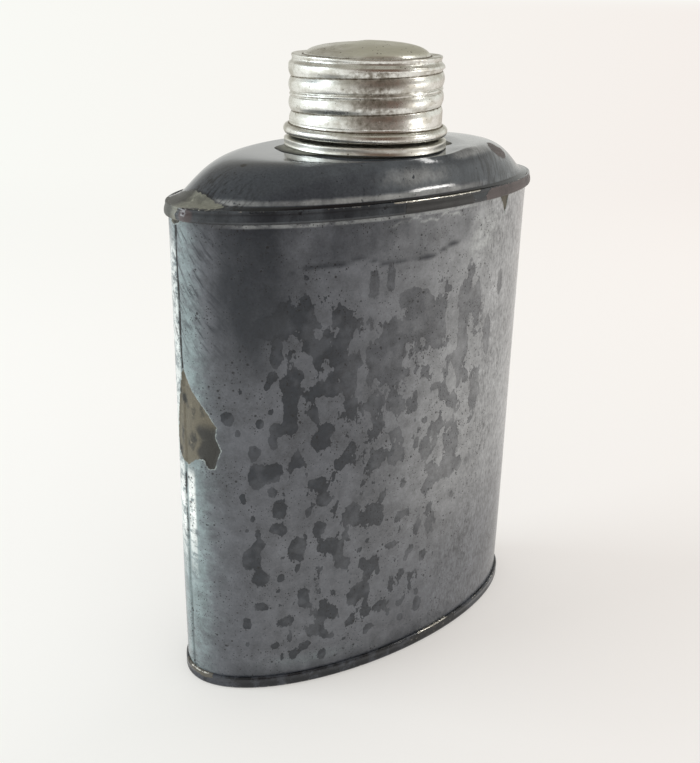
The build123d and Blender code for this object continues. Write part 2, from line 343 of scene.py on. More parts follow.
# Each stretch of the wall's height: where it starts and ends, and its rows of points.
WALL_ROWS = [(0, 2.2, 2), (2.2, 56, 54), (56, 86, 62), (86, 112, 26), (112, 117.4, 20)]
WALL_INNER_ROWS = 10
HOOK_OUT = 0.4
LAP_STEP, LAP_WIDTH, LAP_EDGE, LAP_TOP_GAP = 0.3, 7.0, 0.35, 1.0
SEAM_CREASE, SEAM_CREASE_WIDTH = 0.16, 0.22
CHIP_DEPTH, CHIP_WALL = 0.26, 0.4
DENT_DEPTH = 0.09
# Values for points that are far from any chip and from the lap.
NO_CHIP, NO_SEAM = -20, 50
# Outlines of the chips: distance round the wall from the lap, and height.
NOSE_CHIP = [
    (0.3, 83), (3.1, 78.4), (6.6, 74.4), (9.1, 70.6), (8.8, 68), (10.1, 65), (9.2, 62.6),
    (8.6, 60.2), (7, 60.1), (5.6, 62.3), (3.2, 61.3), (0.9, 59.5), (-2.9, 61.6), (-3.7, 65.5),
    (-2.6, 70.6), (-1.2, 76.8),
]
RIM_CHIP = [(86.6, 117.8), (92, 117.8), (91, 114.6), (90.2, 112.2), (89, 114.9), (87.6, 116.6)]
LAP_CHIP = [(-2.6, 118), (1.6, 118), (1.2, 116.4), (-0.4, 115.9), (-2, 116.3)]
# Drops: distance round the wall, height, half width and half height.
CURTAINS = [
    (28.5, 96, 4.2, 3.6), (21.8, 93.8, 4.6, 3), (38.9, 94.2, 2.3, 3.2), (38.3, 87.5, 2, 4),
    (40.3, 80.3, 2, 3.8), (46, 102, 1.4, 3.5), (50.5, 103, 1.2, 3.8), (56.5, 97.8, 3.4, 2),
    (62.5, 95.4, 2.6, 2), (66, 91, 2.9, 3.2), (65.6, 86.3, 3, 2.8), (57, 90.5, 4, 3.6),
    (48.5, 86, 4.2, 4.2), (52, 80, 4.4, 4), (76, 98, 1.8, 4.8), (90.5, 94.8, 1.5, 3.5),
    (80.1, 91, 1.6, 4.5), (74.8, 91, 2.4, 3.6), (74, 80, 2.7, 5.2), (85.1, 81.5, 1.8, 6),
    (81.3, 67.5, 2, 5), (33.3, 87.8, 3.2, 3.6), (25.8, 79, 1.6, 4.5), (33, 78.5, 3.7, 1.6),
]
BEADS = [
    (40.2, 72, 2.6, 3.4), (26, 69.9, 2, 2.6), (22.8, 70, 1.6, 1.2), (56.4, 71, 4.4, 2.8),
    (46.4, 71.8, 1.6, 3.6), (68.5, 71, 2.6, 2.4), (11.8, 73, 2, 2.3), (33.3, 65.5, 3.5, 2.6),
    (48.9, 66.3, 2.6, 2.4), (53.5, 59, 2.2, 3.6), (66.4, 62.4, 3, 2.4), (73.6, 57.3, 2.4, 3.6),
    (63.6, 57.3, 1.7, 2.4), (46.8, 58.3, 2.9, 3.4), (71, 48.8, 3.4, 3.1), (64.3, 46.4, 2.4, 2.3),
    (56.4, 49.6, 1.5, 1.7), (21.6, 59, 3.6, 3.3), (17.6, 58.3, 1.7, 3.8), (27.4, 61.5, 1.5, 2.6),
    (38.9, 59.3, 2.6, 2.2), (33.3, 55.3, 3.6, 1.8), (24.1, 49, 1.8, 2.1), (33.4, 49.9, 2.3, 2.4),
    (22.8, 44.6, 2.3, 1.6), (33, 43.8, 1.8, 1.7), (41.3, 45.6, 2.6, 3.2), (47.5, 42.9, 4.6, 3.6),
    (36.4, 37.8, 3.5, 2), (28.5, 37.5, 1.5, 3.6), (18, 36.5, 1.5, 3), (18.7, 31.2, 2.9, 2.4),
    (33.5, 31.5, 1.5, 2.2), (40, 32.3, 1.8, 2.6), (29.5, 24.5, 1.7, 2.5), (33.9, 19.9, 2.4, 3),
    (25.5, 18.5, 2.4, 1.7), (19, 23.5, 2.6, 1.5), (45.1, 22.6, 3.2, 2.8), (54, 22.5, 2, 3.2),
    (50.5, 16.5, 1.7, 1.6), (56.5, 15, 2, 1.4), (60.5, 21, 1.6, 2.3), (64.5, 27, 1.5, 2),
    (59.5, 29.5, 2.1, 1.7), (49, 29.5, 1.8, 1.6), (53.5, 33, 2.2, 1.8), (61.5, 36, 1.7, 2.4),
    (42, 14.5, 2, 1.3), (36.5, 12, 1.7, 1.2), (47.5, 11, 1.9, 1.2), (66, 33.5, 1.4, 2),
    (57.5, 41, 2, 1.7), (31, 14.5, 1.5, 1.9),
]
CURTAIN_SHRINK, BEAD_SHRINK = 0.95, 0.77
SMALL_BEADS, SMALL_BEAD_SIZES = 130, (0.45, 1.35)
BACK_BEADS, BACK_BEAD_SIZES = 80, (0.8, 3.4)
BACK_CURTAINS, BACK_CURTAIN_SIZES = 26, (1.6, 4.2)
LOW_DROPS_UNDER, HIGH_DROPS_REACH = 50, 95
DROP_SEED = 11
ENAMEL_GROUND = (0.106, 0.112, 0.126, 1)
ENAMEL_SLATE = (0.019, 0.0235, 0.031, 1)
ENAMEL_CURTAIN = (0.046, 0.05, 0.06, 1)
ENAMEL_PALE = (0.235, 0.295, 0.3, 1)
ENAMEL_STRIP = (0.8, 0.83, 0.8, 1)
ENAMEL_WARM = (0.34, 0.345, 0.35, 1)
ENAMEL_SPECK = (0.006, 0.0065, 0.008, 1)
BROKEN_EDGE = (0.3, 0.34, 0.33, 1)
BARE_METAL = (0.135, 0.12, 0.085, 1)
BARE_METAL_DARK = (0.034, 0.033, 0.028, 1)


def eased(value, low, high):
    """0 below low and 1 above high, smooth between them. It falls where low is the greater."""
    share = np.clip((value - low) / (high - low), 0, 1)
    return share * share * (3 - 2 * share)


def band(value, start, full, fading, end):
    """1 from full to fading, and 0 before start and after end, smooth between them."""
    return eased(value, start, full) * eased(value, end, fading)


def hump(value, middle, width):
    """1 at a middle, and less away from it, like a bell."""
    return np.exp(-(((value - middle) / width) ** 2))


def most(*covers):
    """The greatest of several covers at each point."""
    return np.maximum.reduce(np.broadcast_arrays(*covers))


def depth_inside(along, height, outlines):
    """How far points lie inside any of some outlines, and less than 0 outside them all."""
    along, height = np.broadcast_arrays(along, height)
    depths = []
    for outline in outlines:
        nearest = np.full(along.shape, np.inf)
        crossings = np.zeros(along.shape, int)
        for (x0, z0), (x1, z1) in zip(outline, outline[1:] + outline[:1]):
            run, rise = x1 - x0, z1 - z0
            share = ((along - x0) * run + (height - z0) * rise) / (run * run + rise * rise)
            share = np.clip(share, 0, 1)
            gap = np.hypot(along - x0 - share * run, height - z0 - share * rise)
            nearest = np.minimum(nearest, gap)
            if rise:
                passed = (z0 > height) != (z1 > height)
                crossings += passed & (along < x0 + run * (height - z0) / rise)
        depths.append(np.where(crossings % 2 == 1, nearest, -nearest))
    return most(*depths)


def column(*values):
    """Numbers one below another, one for each row of rings."""
    return np.array(values, float)[:, None]


def rings(half_widths, half_depths, heights, turns):
    """Level ovals round the neck's axis, one for each row."""
    places = half_widths * np.cos(turns), half_depths * np.sin(turns), heights
    return np.stack(np.broadcast_arrays(*places), axis=-1)


def oval_rings(offsets, heights):
    """Rings round the body's oval, grown by an offset and set at a height, one for each row."""
    return rings(HALF_WIDTH + offsets, HALF_DEPTH + offsets, heights, wall_turns)


def ring_piece(name, ring_rows, poles=None):
    """A closed mesh through rings of points. The last ring joins the first one, or with two
    poles each end ring closes to a point on the flask's axis."""
    rows, columns, _ = ring_rows.shape
    here = np.arange(columns)
    beside = (here + 1) % columns
    points = ring_rows.reshape(-1, 3)
    starts = np.arange(rows if poles is None else rows - 1)[:, None] * columns
    nexts = (starts + columns) % (rows * columns)
    quads = np.stack([starts + here, starts + beside, nexts + beside, nexts + here], axis=-1)
    faces = quads.reshape(-1, 4)
    corners = points[faces]
    crossed = np.cross(corners[:, 2] - corners[:, 0], corners[:, 3] - corners[:, 1])
    outward = (crossed * corners.mean(axis=1)).sum() > 0
    faces = [tuple(face) for face in (faces if outward else faces[:, ::-1]).tolist()]
    if poles is not None:
        last = (rows - 1) * columns
        sides = list(zip(here.tolist(), beside.tolist()))
        fans = [(b, a, len(points)) for a, b in sides]
        fans += [(last + a, last + b, len(points) + 1) for a, b in sides]
        faces += fans if outward else [fan[::-1] for fan in fans]
        points = np.vstack([points, [(0, 0, poles[0]), (0, 0, poles[1])]])
    return add_piece(name, points, faces)


wall_turns = turns_of(WALL_COLUMNS)
fine_turns = np.linspace(0, 2 * math.pi, 20 * WALL_COLUMNS + 1)
fine_steps = np.hypot(
    np.diff(HALF_WIDTH * np.cos(fine_turns)), np.diff(HALF_DEPTH * np.sin(fine_turns))
)
fine_run = np.concatenate([[0], np.cumsum(fine_steps)])
wall_along = (np.interp(wall_turns, fine_turns, fine_run) - fine_run[-1] / 2)[None, :]

row_heights = np.concatenate([np.linspace(a, b, n, endpoint=False) for a, b, n in WALL_ROWS])
level = column(*(wall_low.z + (wall_high.z - SHEET - wall_low.z) * row_heights / row_heights[-1]))
seam_sway = 0.22 * np.sin(level / 9.5) + 0.12 * np.sin(level / 3.1 + 1)
from_seam = wall_along - seam_sway
lap = band(-from_seam, -LAP_EDGE / 2, LAP_EDGE / 2, LAP_WIDTH - 1, LAP_WIDTH)
lap_reach = band(level, 3.2, 3.8, RIM_UNDER - LAP_TOP_GAP, RIM_UNDER - LAP_TOP_GAP / 2)
wave = np.sin(wall_along / 17 + 1) * np.sin(level / 23 + 0.4)
ripple = np.sin(wall_along / 6.7) * np.sin(level / 11 + 2)
chip_depth = depth_inside(wall_along, level, (NOSE_CHIP, RIM_CHIP, LAP_CHIP))
wall_offsets = (LAP_STEP * lap - SEAM_CREASE * hump(from_seam, 0, SEAM_CREASE_WIDTH)) * lap_reach
wall_offsets = wall_offsets + DENT_DEPTH * (wave + 0.5 * ripple) * band(level, 4, 14, 108, 116)
wall_offsets = wall_offsets - CHIP_DEPTH * eased(chip_depth, 0, CHIP_WALL)
wall_rings = np.concatenate([
    oval_rings(wall_offsets, level),
    oval_rings(column(0, HOOK_OUT, HOOK_OUT, 0, -SHEET), wall_high.z - column(SHEET, SHEET, 0, 0, 0)),
    oval_rings(-SHEET, column(*np.linspace(wall_high.z - SHEET, wall_low.z, WALL_INNER_ROWS))),
])
wall = ring_piece("enamelled_wall", wall_rings)


def on_every_ring(outer_values, filler=0):
    """Values of the wall's outer rows, with a filler on its hidden rows."""
    outer_values = np.broadcast_to(outer_values, chip_depth.shape)
    hidden = len(wall_rings) - len(outer_values)
    return np.vstack([outer_values, np.full((hidden, WALL_COLUMNS), filler)])


def scattered(count, along_range, height_range, sizes, tallness):
    """Drops at random places: along the wall, height, half width and half height."""
    along = scatter.uniform(*along_range, count)
    height = scatter.uniform(*height_range, count)
    size = sizes[0] + (sizes[1] - sizes[0]) * scatter.random(count) ** 1.6
    return np.stack([along, height, size, size * scatter.uniform(*tallness, count)], axis=-1)


def lower_edge(height):
    """How far from the lap the enamel's drops reach at a height."""
    return 84 - 16 * eased(46 - height, 0, 30)


scatter = np.random.default_rng(DROP_SEED)
drops = np.vstack([
    np.array(CURTAINS) * (1, 1, CURTAIN_SHRINK, CURTAIN_SHRINK),
    np.array(BEADS) * (1, 1, BEAD_SHRINK, BEAD_SHRINK),
    scattered(SMALL_BEADS, (13, 80), (6, 90), SMALL_BEAD_SIZES, (0.9, 1.8)),
    scattered(BACK_BEADS, (-88, -13), (6, 76), BACK_BEAD_SIZES, (0.7, 1.4)),
    scattered(BACK_CURTAINS, (-84, -16), (74, 100), BACK_CURTAIN_SIZES, (0.8, 2)),
])
drop_reach = np.where(
    drops[:, 1] < LOW_DROPS_UNDER, lower_edge(drops[:, 1]), HIGH_DROPS_REACH
)
drops = drops[np.abs(drops[:, 0]) < drop_reach]
drop_field = sum(
    0.5 ** (((wall_along - along) / half_width) ** 2 + ((level - height) / half_height) ** 2)
    for along, height, half_width, half_height in drops
)

# Where each part of the finish shows: away is the distance round the wall from the lap, in
# millimetres, and level is the height of each row.
away = np.abs(wall_along)
# The slate lies above a wavy tide line, in a band at the upper left and along the foot.
sway = 5 * np.sin(away / 6.5) + 3 * np.sin(away / 2.9 + 1)
tide = 107 + 0.8 * np.sin(away / 5) + 0.5 * np.sin(away / 2.1)
above_tide = eased(level, tide - 0.6, tide + 0.6) * band(away, 10, 20, 72, 80)
above_tide = above_tide * (0.5 - 0.15 * eased(away, 44, 66))
tide_line = hump(level, tide, 0.55) * band(away, 16, 22, 68, 76)
left_band = band(away, 1, 17, 17, 40) * eased(level + sway, 74, 100)
foot_dark = eased(level, 9, 3.2) * band(away, 6, 14, 70, 90)
# A painted highlight: a pale strip along the top of the wall just under the rim, with less slate there.
rim_strip = eased(level, 115.9, 116.4) * eased(away, 8, 16)
smooth_cover = most(above_tide, 0.95 * left_band, 0.85 * tide_line, 0.55 * foot_dark)
# The ground is pale at the narrow end and warm towards the right. Both are partly the enamel's own tone
# and partly painted light: a cool window light on the narrow end and a warm lamplight on the right.
nose_reach = 17 - 4 * eased(level, 70, 100)
pale_cover = 0.5 * eased(away + sway / 3, nose_reach, 0) + 0.5 * eased(away, 9, 1)
pale_cover = pale_cover * (1 - 0.3 * eased(level, 84, 112) - 0.35 * eased(level, 30, 4))
puddle = hump(away, 31, 14) * hump(level, 6.5, 2.2)
low_light = eased(level, 66, 34) * band(away, 12, 24, 46, 62)
# A painted pool of lamplight on the middle of the right part of the front.
right_patch = hump(away, 68, 14) * hump(level, 54, 26)
warm_cover = eased(away, 32, 94) * (0.16 + 0.84 * eased(level, 14, 62))
# Nearly white: brushed strokes, a strip on each side of the lap, a torn line under the rim, and a painted
# highlight strip along the wall's top.
light_strokes = hump(away, 81, 6.5) * hump(level - (away - 81) / 4, 108.5, 5.2) * eased(away, 74, 75.5)
right_strip = band(away, 0.4, 0.8, 2.6, 3.4) * band(level, 26, 46, 56, 60)
left_strip = band(-wall_along, 0.1, 0.5, 5, 8) * band(level, 26, 46, 108, 116)
tear = 115.2 + 0.45 * np.sin(away / 1.7) + 0.35 * np.sin(away / 0.7 + 2)
torn_edge = hump(level, tear, 0.3) * band(away, 48, 54, 72, 76)
# Where drops run together into patches.
patch_cover = eased(away, 17, 28) * eased(lower_edge(level) - away, -6, 6) * eased(level, 6, 16)
patch_cover = patch_cover * eased(level + sway, 106, 92) * (0.72 + 0.28 * eased(level, 48, 74))
wall_covers = {
    "smooth_cover": smooth_cover * (1 - 0.85 * rim_strip),
    "drop_field": drop_field,
    "curtain_share": most(eased(level, 62, 80) * eased(away, 32, 50), 0.4 * eased(away, 44, 60)),
    "stroke_cover": eased(away, 20, 6) * eased(level, 80, 92),
    "patch_cover": patch_cover,
    "seam_cover": 0.35 + 0.65 * eased(level, 30, 60),
    "chip_dark": eased(wall_along + 0.7 * np.sin(level / 0.9), 3.8, 5.2) * eased(level, 72, 69),
    "grain_cover": most(eased(away + sway / 2, 70, 88), 0.9 * eased(lower_edge(level) - away, 8, -6)),
    "pale_cover": most(pale_cover, 0.3 * puddle),
    "warm_cover": np.minimum(warm_cover + 0.08 * low_light + 0.32 * right_patch, 1),
    "strip_cover": most(
        right_strip, 0.7 * left_strip, 0.28 * rim_strip, 0.3 * light_strokes, 0.45 * torn_edge
    ),
    "speck_cover": 1 - 0.75 * eased(away, 84, 96),
}
keep_values(wall, **{name: on_every_ring(cover) for name, cover in wall_covers.items()})
keep_values(
    wall, chip_depth=on_every_ring(chip_depth, NO_CHIP), from_seam=on_every_ring(from_seam, NO_SEAM)
)


def place_in_mm(tree):
    """Where a point lies on the flask, in millimetres."""
    place = add_node(tree, "TexCoord", output="Object")
    return place.through("VectorMath", {"Scale": 1 / MM}, operation="SCALE")


def stretch(place, *amounts):
    """A place with each of its directions scaled."""
    return place.through("VectorMath", {1: amounts}, operation="MULTIPLY")


def clouds(place, size, detail=2.0, roughness=0.5):
    """Soft noise about one half, with patches of about one size in millimetres."""
    return place.through("TexNoise", {"Scale": 1 / size, "Detail": detail, "Roughness": roughness})


def cells(place, size):
    """Scattered cells: the distance to the nearest middle, and a random number for each."""
    gap = place.through("TexVoronoi", {"Scale": 1 / size})
    return gap, gap.beside("Color").through("SeparateColor")


def centred(noise, amount):
    """Noise about one half, turned into noise about nought and scaled."""
    return (noise - 0.5) * amount


def shade(colour, amount):
    """A colour made lighter or darker by a number."""
    return colour.through("VectorMath", {"Scale": amount}, operation="SCALE")


def new_group(name, colours, numbers):
    """An empty shader node group with named inputs, and their values."""
    group = bpy.data.node_groups.new(name, "ShaderNodeTree")
    for kind, sockets in (("NodeSocketColor", colours), ("NodeSocketFloat", numbers)):
        for socket in sockets:
            group.interface.new_socket(socket, in_out="INPUT", socket_type=kind)
    start = group.nodes.new("NodeGroupInput")
    return group, {socket: Value(group, start.outputs[socket]) for socket in colours + numbers}


def give_out(group, results):
    """Ends a node group with its named outputs, of which only the one called Color is a colour."""
    for socket in results:
        kind = "NodeSocketColor" if socket == "Color" else "NodeSocketFloat"
        group.interface.new_socket(socket, in_out="OUTPUT", socket_type=kind)
    end = group.nodes.new("NodeGroupOutput")
    for socket, value in results.items():
        group.links.new(value.socket, end.inputs[socket])
    return group


def build_graniteware():
    """The fired enamel: a mottled ground that a darker slate covers in smooth clouds and in
    drops with ragged edges, with black pinholes and, where it ran thin, an uneven grain."""
    group, given = new_group(
        "graniteware", colours=["Ground", "Slate", "Drop color", "Speck"],
        numbers=["Smooth cover", "Drop field", "Patch cover", "Speck cover", "Grain cover"],
    )
    place = place_in_mm(group)
    broad = centred(clouds(place, 15, 3.0, 0.55), 0.9)
    blotchy = centred(clouds(place, 3.4, 4.0, 0.66), 1.25)
    fine = centred(clouds(place, 0.55, 4.0, 0.8), 1.6)
    grain = centred(clouds(stretch(place, 1, 1, 0.5), 0.75, 2.0, 0.6), 1.0) * given["Grain cover"]
    ground = shade(given["Ground"], broad + 1.0 + blotchy + fine * 0.55 + grain * 1.8)

    run = centred(clouds(stretch(place, 1, 1, 0.55), 6.5, 4.0, 0.6), 1.1)
    smooth = (given["Smooth cover"] + run) * given["Smooth cover"].step(0.0, 0.15)
    colour = blend(smooth.step(0.05, 1.05), ground, shade(given["Slate"], fine * 0.9 + 1.0))

    islands = centred(clouds(stretch(place, 1, 1, 0.58), 3.1, 3.0, 0.6), 3.4) + 0.14
    drop_edge = given["Drop field"] + centred(clouds(place, 1.7, 4.0, 0.66), 0.95)
    drop_edge = islands * given["Patch cover"] + drop_edge
    drop = drop_edge.step(0.47, 0.55)
    drop_tone = drop_edge.step(0.5, 1.0) * 0.16 + 0.84 + blotchy * 0.9 + fine * 0.8
    crowding = clouds(place, 6, 2.0, 0.6)
    thickness = crowding.step(0.4, 0.56) * 0.36 + 0.64
    colour = blend(drop * thickness, colour, shade(given["Drop color"], drop_tone))

    crowd = (crowding.step(0.36, 0.6) * 0.65 + 0.35) * given["Speck cover"]
    dots = []
    for spacing, largest in ((0.5, 0.36), (1.3, 0.26)):
        gap, number = cells(place, spacing)
        reach = (number * (largest + 0.1) - 0.1) * crowd
        dots.append((reach - gap).step(-0.04, 0.04))
    specks = dots[0].or_more(dots[1])
    peel = centred(clouds(place, 1.9, 2.0, 0.5), 1.0)
    return give_out(group, {
        "Color": blend(specks * 0.85, colour, given["Speck"]),
        "Height": peel + fine * 0.1 + grain * 0.7 + drop * 0.25 - specks * 0.4,
    })


def build_chipped():
    """Enamel broken away to dull brown steel, with a pale line where the glass edge shows."""
    group, given = new_group(
        "chipped", colours=["Enamel", "Edge", "Metal", "Dark metal", "Light metal"],
        numbers=["Depth", "Edge share"],
    )
    place = place_in_mm(group)
    depth = centred(clouds(place, 0.8, 3.0, 0.6), 0.9) + given["Depth"]
    bare = depth.step(-0.06, 0.06)
    edge = depth.step(-0.34, -0.12) * clouds(place, 2.4, 2.0, 0.6).step(0.35, 0.6) * given["Edge share"]
    rust = clouds(stretch(place, 1, 1, 0.6), 3.2, 4.0, 0.6)
    grit = centred(clouds(place, 0.4, 3.0, 0.7), 1.0)
    metal = blend(rust.step(0.48, 0.66), given["Metal"], given["Dark metal"])
    metal = blend(clouds(place, 1.3, 3.0, 0.6).step(0.58, 0.74), metal, given["Light metal"])
    metal = shade(metal, grit * 0.8 + 1.0)
    return give_out(group, {
        "Color": blend(bare, blend(edge, given["Enamel"], given["Edge"]), metal),
        "Bare": bare, "Height": (rust + grit) * bare,
    })


def add_group(tree, group, values):
    """A node group placed in a material with its own values, and what it gives out by name."""
    first = add_node(tree, "Group", values, node_tree=group)
    return {socket.name: Value(tree, socket) for socket in first.socket.node.outputs}


def bump(height, distance, **below):
    """A surface normal that rises and falls with a height, in metres at the height of one."""
    return add_node(height.tree, "Bump", {"Height": height, "Distance": distance, **below})


ENAMEL_GLOSS = 0.24
BARE_ROUGHNESS = 0.6
PEEL_HEIGHT, RUST_HEIGHT = 0.035 * MM, 0.12 * MM
STROKE_LEAN = math.radians(34)
graniteware = build_graniteware()
chipped = build_chipped()


def relief(enamel, flaked, share=1):
    """The normal of an enamelled surface and of the rust in its chips."""
    peel = bump(enamel["Height"], PEEL_HEIGHT * share)
    return bump(flaked["Height"], RUST_HEIGHT * share, Normal=peel)


def roughness(flaked, gloss, bare):
    """The roughness of an enamelled surface, with that of its bare metal in the chips."""
    return flaked["Bare"] * (bare - gloss) + gloss


wall_material, tree = new_material("wall_enamel")
place = place_in_mm(tree)
mottle = clouds(stretch(place, 1, 1, 1.6), 2.6, 4.0, 0.62)
# The pale and warm grounds are partly the enamel's tone and partly painted window light and lamplight.
pale, warm = stored(tree, "pale_cover"), stored(tree, "warm_cover")
ground = blend(warm, ENAMEL_GROUND, ENAMEL_WARM)
ground = blend((centred(mottle, 2.2) * pale + pale).step(0.0, 1.0), ground, ENAMEL_PALE)
ground = blend(stored(tree, "strip_cover") * mottle.step(0.34, 0.56), ground, ENAMEL_STRIP)
drop_colour = blend(stored(tree, "curtain_share"), ENAMEL_SLATE, ENAMEL_CURTAIN)
enamel = add_group(tree, graniteware, {
    "Ground": ground, "Slate": ENAMEL_SLATE, "Speck": ENAMEL_SPECK,
    "Drop color": blend(warm * 0.45, drop_colour, ENAMEL_WARM),
    "Smooth cover": stored(tree, "smooth_cover"), "Drop field": stored(tree, "drop_field"),
    "Patch cover": stored(tree, "patch_cover"), "Speck cover": stored(tree, "speck_cover"),
    "Grain cover": stored(tree, "grain_cover"),
})
depth_axis = place.through("SeparateXYZ", output=1)
height_axis = depth_axis.beside(2)
stroke_across = height_axis * math.sin(STROKE_LEAN) - depth_axis * math.cos(STROKE_LEAN)
stroke_down = height_axis * -math.cos(STROKE_LEAN) - depth_axis * math.sin(STROKE_LEAN)
strokes = clouds(stroke_across.through("CombineXYZ", {1: stroke_down * 0.16}), 0.85, 3.0, 0.6)
strokes = strokes.step(0.46, 0.72) * stored(tree, "stroke_cover")
colour = blend(strokes * 0.8, enamel["Color"], ENAMEL_SLATE)
# Darker along the lap's seam: dirt in the joint and painted shade in its crease.
seam_dirt = stored(tree, "from_seam").through("Math", operation="ABSOLUTE").step(0.28, 0.08)
seam_breaks = clouds(place, 3.5, 3.0, 0.6).step(0.3, 0.55) * stored(tree, "seam_cover")
chip_metal = blend(stored(tree, "chip_dark"), BARE_METAL, BARE_METAL_DARK)
flaked = add_group(tree, chipped, {
    "Depth": stored(tree, "chip_depth"), "Enamel": blend(seam_dirt * seam_breaks, colour, ENAMEL_SPECK),
    "Edge": BROKEN_EDGE, "Edge share": 1.0, "Metal": chip_metal, "Dark metal": BARE_METAL_DARK,
    "Light metal": shade(chip_metal, 1.45),
})
dress(wall, wall_material, add_node(tree, "BsdfPrincipled", {
    "Base Color": flaked["Color"], "Roughness": roughness(flaked, ENAMEL_GLOSS, BARE_ROUGHNESS),
    "Normal": relief(enamel, flaked),
}))
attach(wall, "flask")
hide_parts("body_shell")

# Base pan: a shallow pressed pan of the same steel under a blue-black enamel. Its edge is folded
# up round the wall's foot, and its flat bottom is set up inside the ring that the flask stands on.
PAN_TOP = (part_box("base_pan")[1] / MM).z
# The folded edge from its lip down to its foot: outward from the wall, and height from the lip.
PAN_PROFILE = [
    (0.06, 0), (0.1, 0.02), (0.3, 0.05), (0.52, -0.04), (0.72, -0.2), (0.84, -0.45), (0.83, -0.8),
    (0.74, -1.3), (0.74, -1.8), (0.82, -2.3), (0.8, -2.65), (0.6, -2.95), (0.3, -3.08), (-0.1, -3.1),
]
PROFILE_STEPS = 3
PAN_FLOOR_SHARES = (0.25, 0.5, 0.7, 0.85, 0.94)
PAN_RING_IN = -1.55
PAN_RECESS = 0.8
# Nicks in the lip: distance round the wall on both sides, and depth.
PAN_NICKS = [(6, 0.12), (19, 0.16), (43, 0.1), (58, 0.14), (77, 0.12)]
WALL_SEAT = 0.05
BAND_CHIPS = [
    [(60.2, 0.9), (77.5, 0.7), (78, 3.0), (60.8, 2.9)],
    [(-3.5, 2.4), (2, 2.2), (4.4, 1.7), (6.8, 2.3), (6.4, 3.4), (-3.8, 3.4)],
    [(-40, 1), (-30, 0.6), (-28, 3.4), (-38, 3.4)],
    [(-88, 0.3), (-73, 0.6), (-76, 2.6), (-86, 2.9)],
]
WORN_METAL = (0.62, 0.6, 0.55, 1)
BAND_GROUND = (0.05, 0.055, 0.066, 1)
BAND_BLACK = (0.009, 0.0105, 0.0135, 1)
BAND_METAL = (0.035, 0.035, 0.036, 1)
NOSE_BAND_METAL = (0.11, 0.1, 0.08, 1)
METAL_DARK = (0.02, 0.019, 0.018, 1)
METAL_LIGHT = (0.27, 0.25, 0.215, 1)


def smooth_line(points):
    """Points on a smooth line that passes through the given ones."""
    points = np.array(points, float)
    longer = np.vstack([2 * points[0] - points[1], points, 2 * points[-1] - points[-2]])
    share = np.linspace(0, 1, PROFILE_STEPS, endpoint=False)[:, None]
    spans = [
        (
            2 * start + (end - before) * share
            + (2 * before - 5 * start + 4 * end - after) * share**2
            + (3 * start - before - 3 * end + after) * share**3
        ) / 2
        for before, start, end, after in zip(longer, longer[1:], longer[2:], longer[3:])
    ]
    return np.vstack([*spans, points[-1:]])


def flat_rings(height, shares, edge):
    """Level ovals between the axis and an edge offset, one for each share of the way out."""
    shares = column(*shares)
    return rings((HALF_WIDTH + edge) * shares, (HALF_DEPTH + edge) * shares, height, wall_turns)


def stretches(run, *worn):
    """How worn an edge is along its run, from rows of strength, start and end."""
    return most(*(strength * band(run, start, start + 2, end - 2, end) for strength, start, end in worn))


pan_line = smooth_line(PAN_PROFILE)
pan_heights = np.clip(PAN_TOP + pan_line[:, 1:], 0, PAN_TOP)
nicks = sum(depth * hump(away, place, 1.2) for place, depth in PAN_NICKS)
pan_rows = np.concatenate([
    flat_rings(wall_low.z, PAN_FLOOR_SHARES + (1,), WALL_SEAT),
    oval_rings(WALL_SEAT, column((PAN_TOP + wall_low.z) / 2)),
    oval_rings(pan_line[:, :1] - nicks * eased(pan_line[:, 1:], -0.9, -0.1), pan_heights),
    oval_rings(PAN_RING_IN + column(0.3, 0, -0.2), column(0, 0.3, PAN_RECESS)),
    flat_rings(PAN_RECESS, PAN_FLOOR_SHARES[::-1], PAN_RING_IN - 0.2),
])
pan = ring_piece("base_pan_enamel", pan_rows, poles=(wall_low.z, PAN_RECESS))
pan_x, pan_y, pan_z = pan_rows.reshape(-1, 3).T
pan_run = np.tile(wall_along[0], len(pan_rows))
pan_out = np.hypot(pan_x / HALF_WIDTH, pan_y / HALF_DEPTH) > 1
lip_wear = hump(pan_z, PAN_TOP - 0.12, 0.16) * stretches(
    pan_run, (1, 62, 76), (0.75, -2, 7), (0.5, 84, 108), (0.7, -62, -46)
)
foot_wear = hump(pan_z, 0.42, 0.16) * stretches(pan_run, (0.5, 9, 48), (0.4, -70, -20))
keep_values(
    pan, poles=2, chip_depth=np.where(pan_out, depth_inside(pan_run, pan_z, BAND_CHIPS), NO_CHIP),
    lip_wear=(lip_wear + foot_wear) * pan_out, metal_tone=pan_run <= 30,
)


def build_worn_edge():
    """A folded edge rubbed down to bright metal in short stretches."""
    group, given = new_group("worn edge", colours=["Color", "Worn metal"], numbers=["Wear"])
    broken = centred(clouds(place_in_mm(group), 0.8, 3.0, 0.65), 1.6)
    bright = (given["Wear"] + broken).step(0.5, 0.7) * given["Wear"].step(0.1, 0.3)
    return give_out(group, {
        "Color": blend(bright, given["Color"], given["Worn metal"]), "Bright": bright,
    })


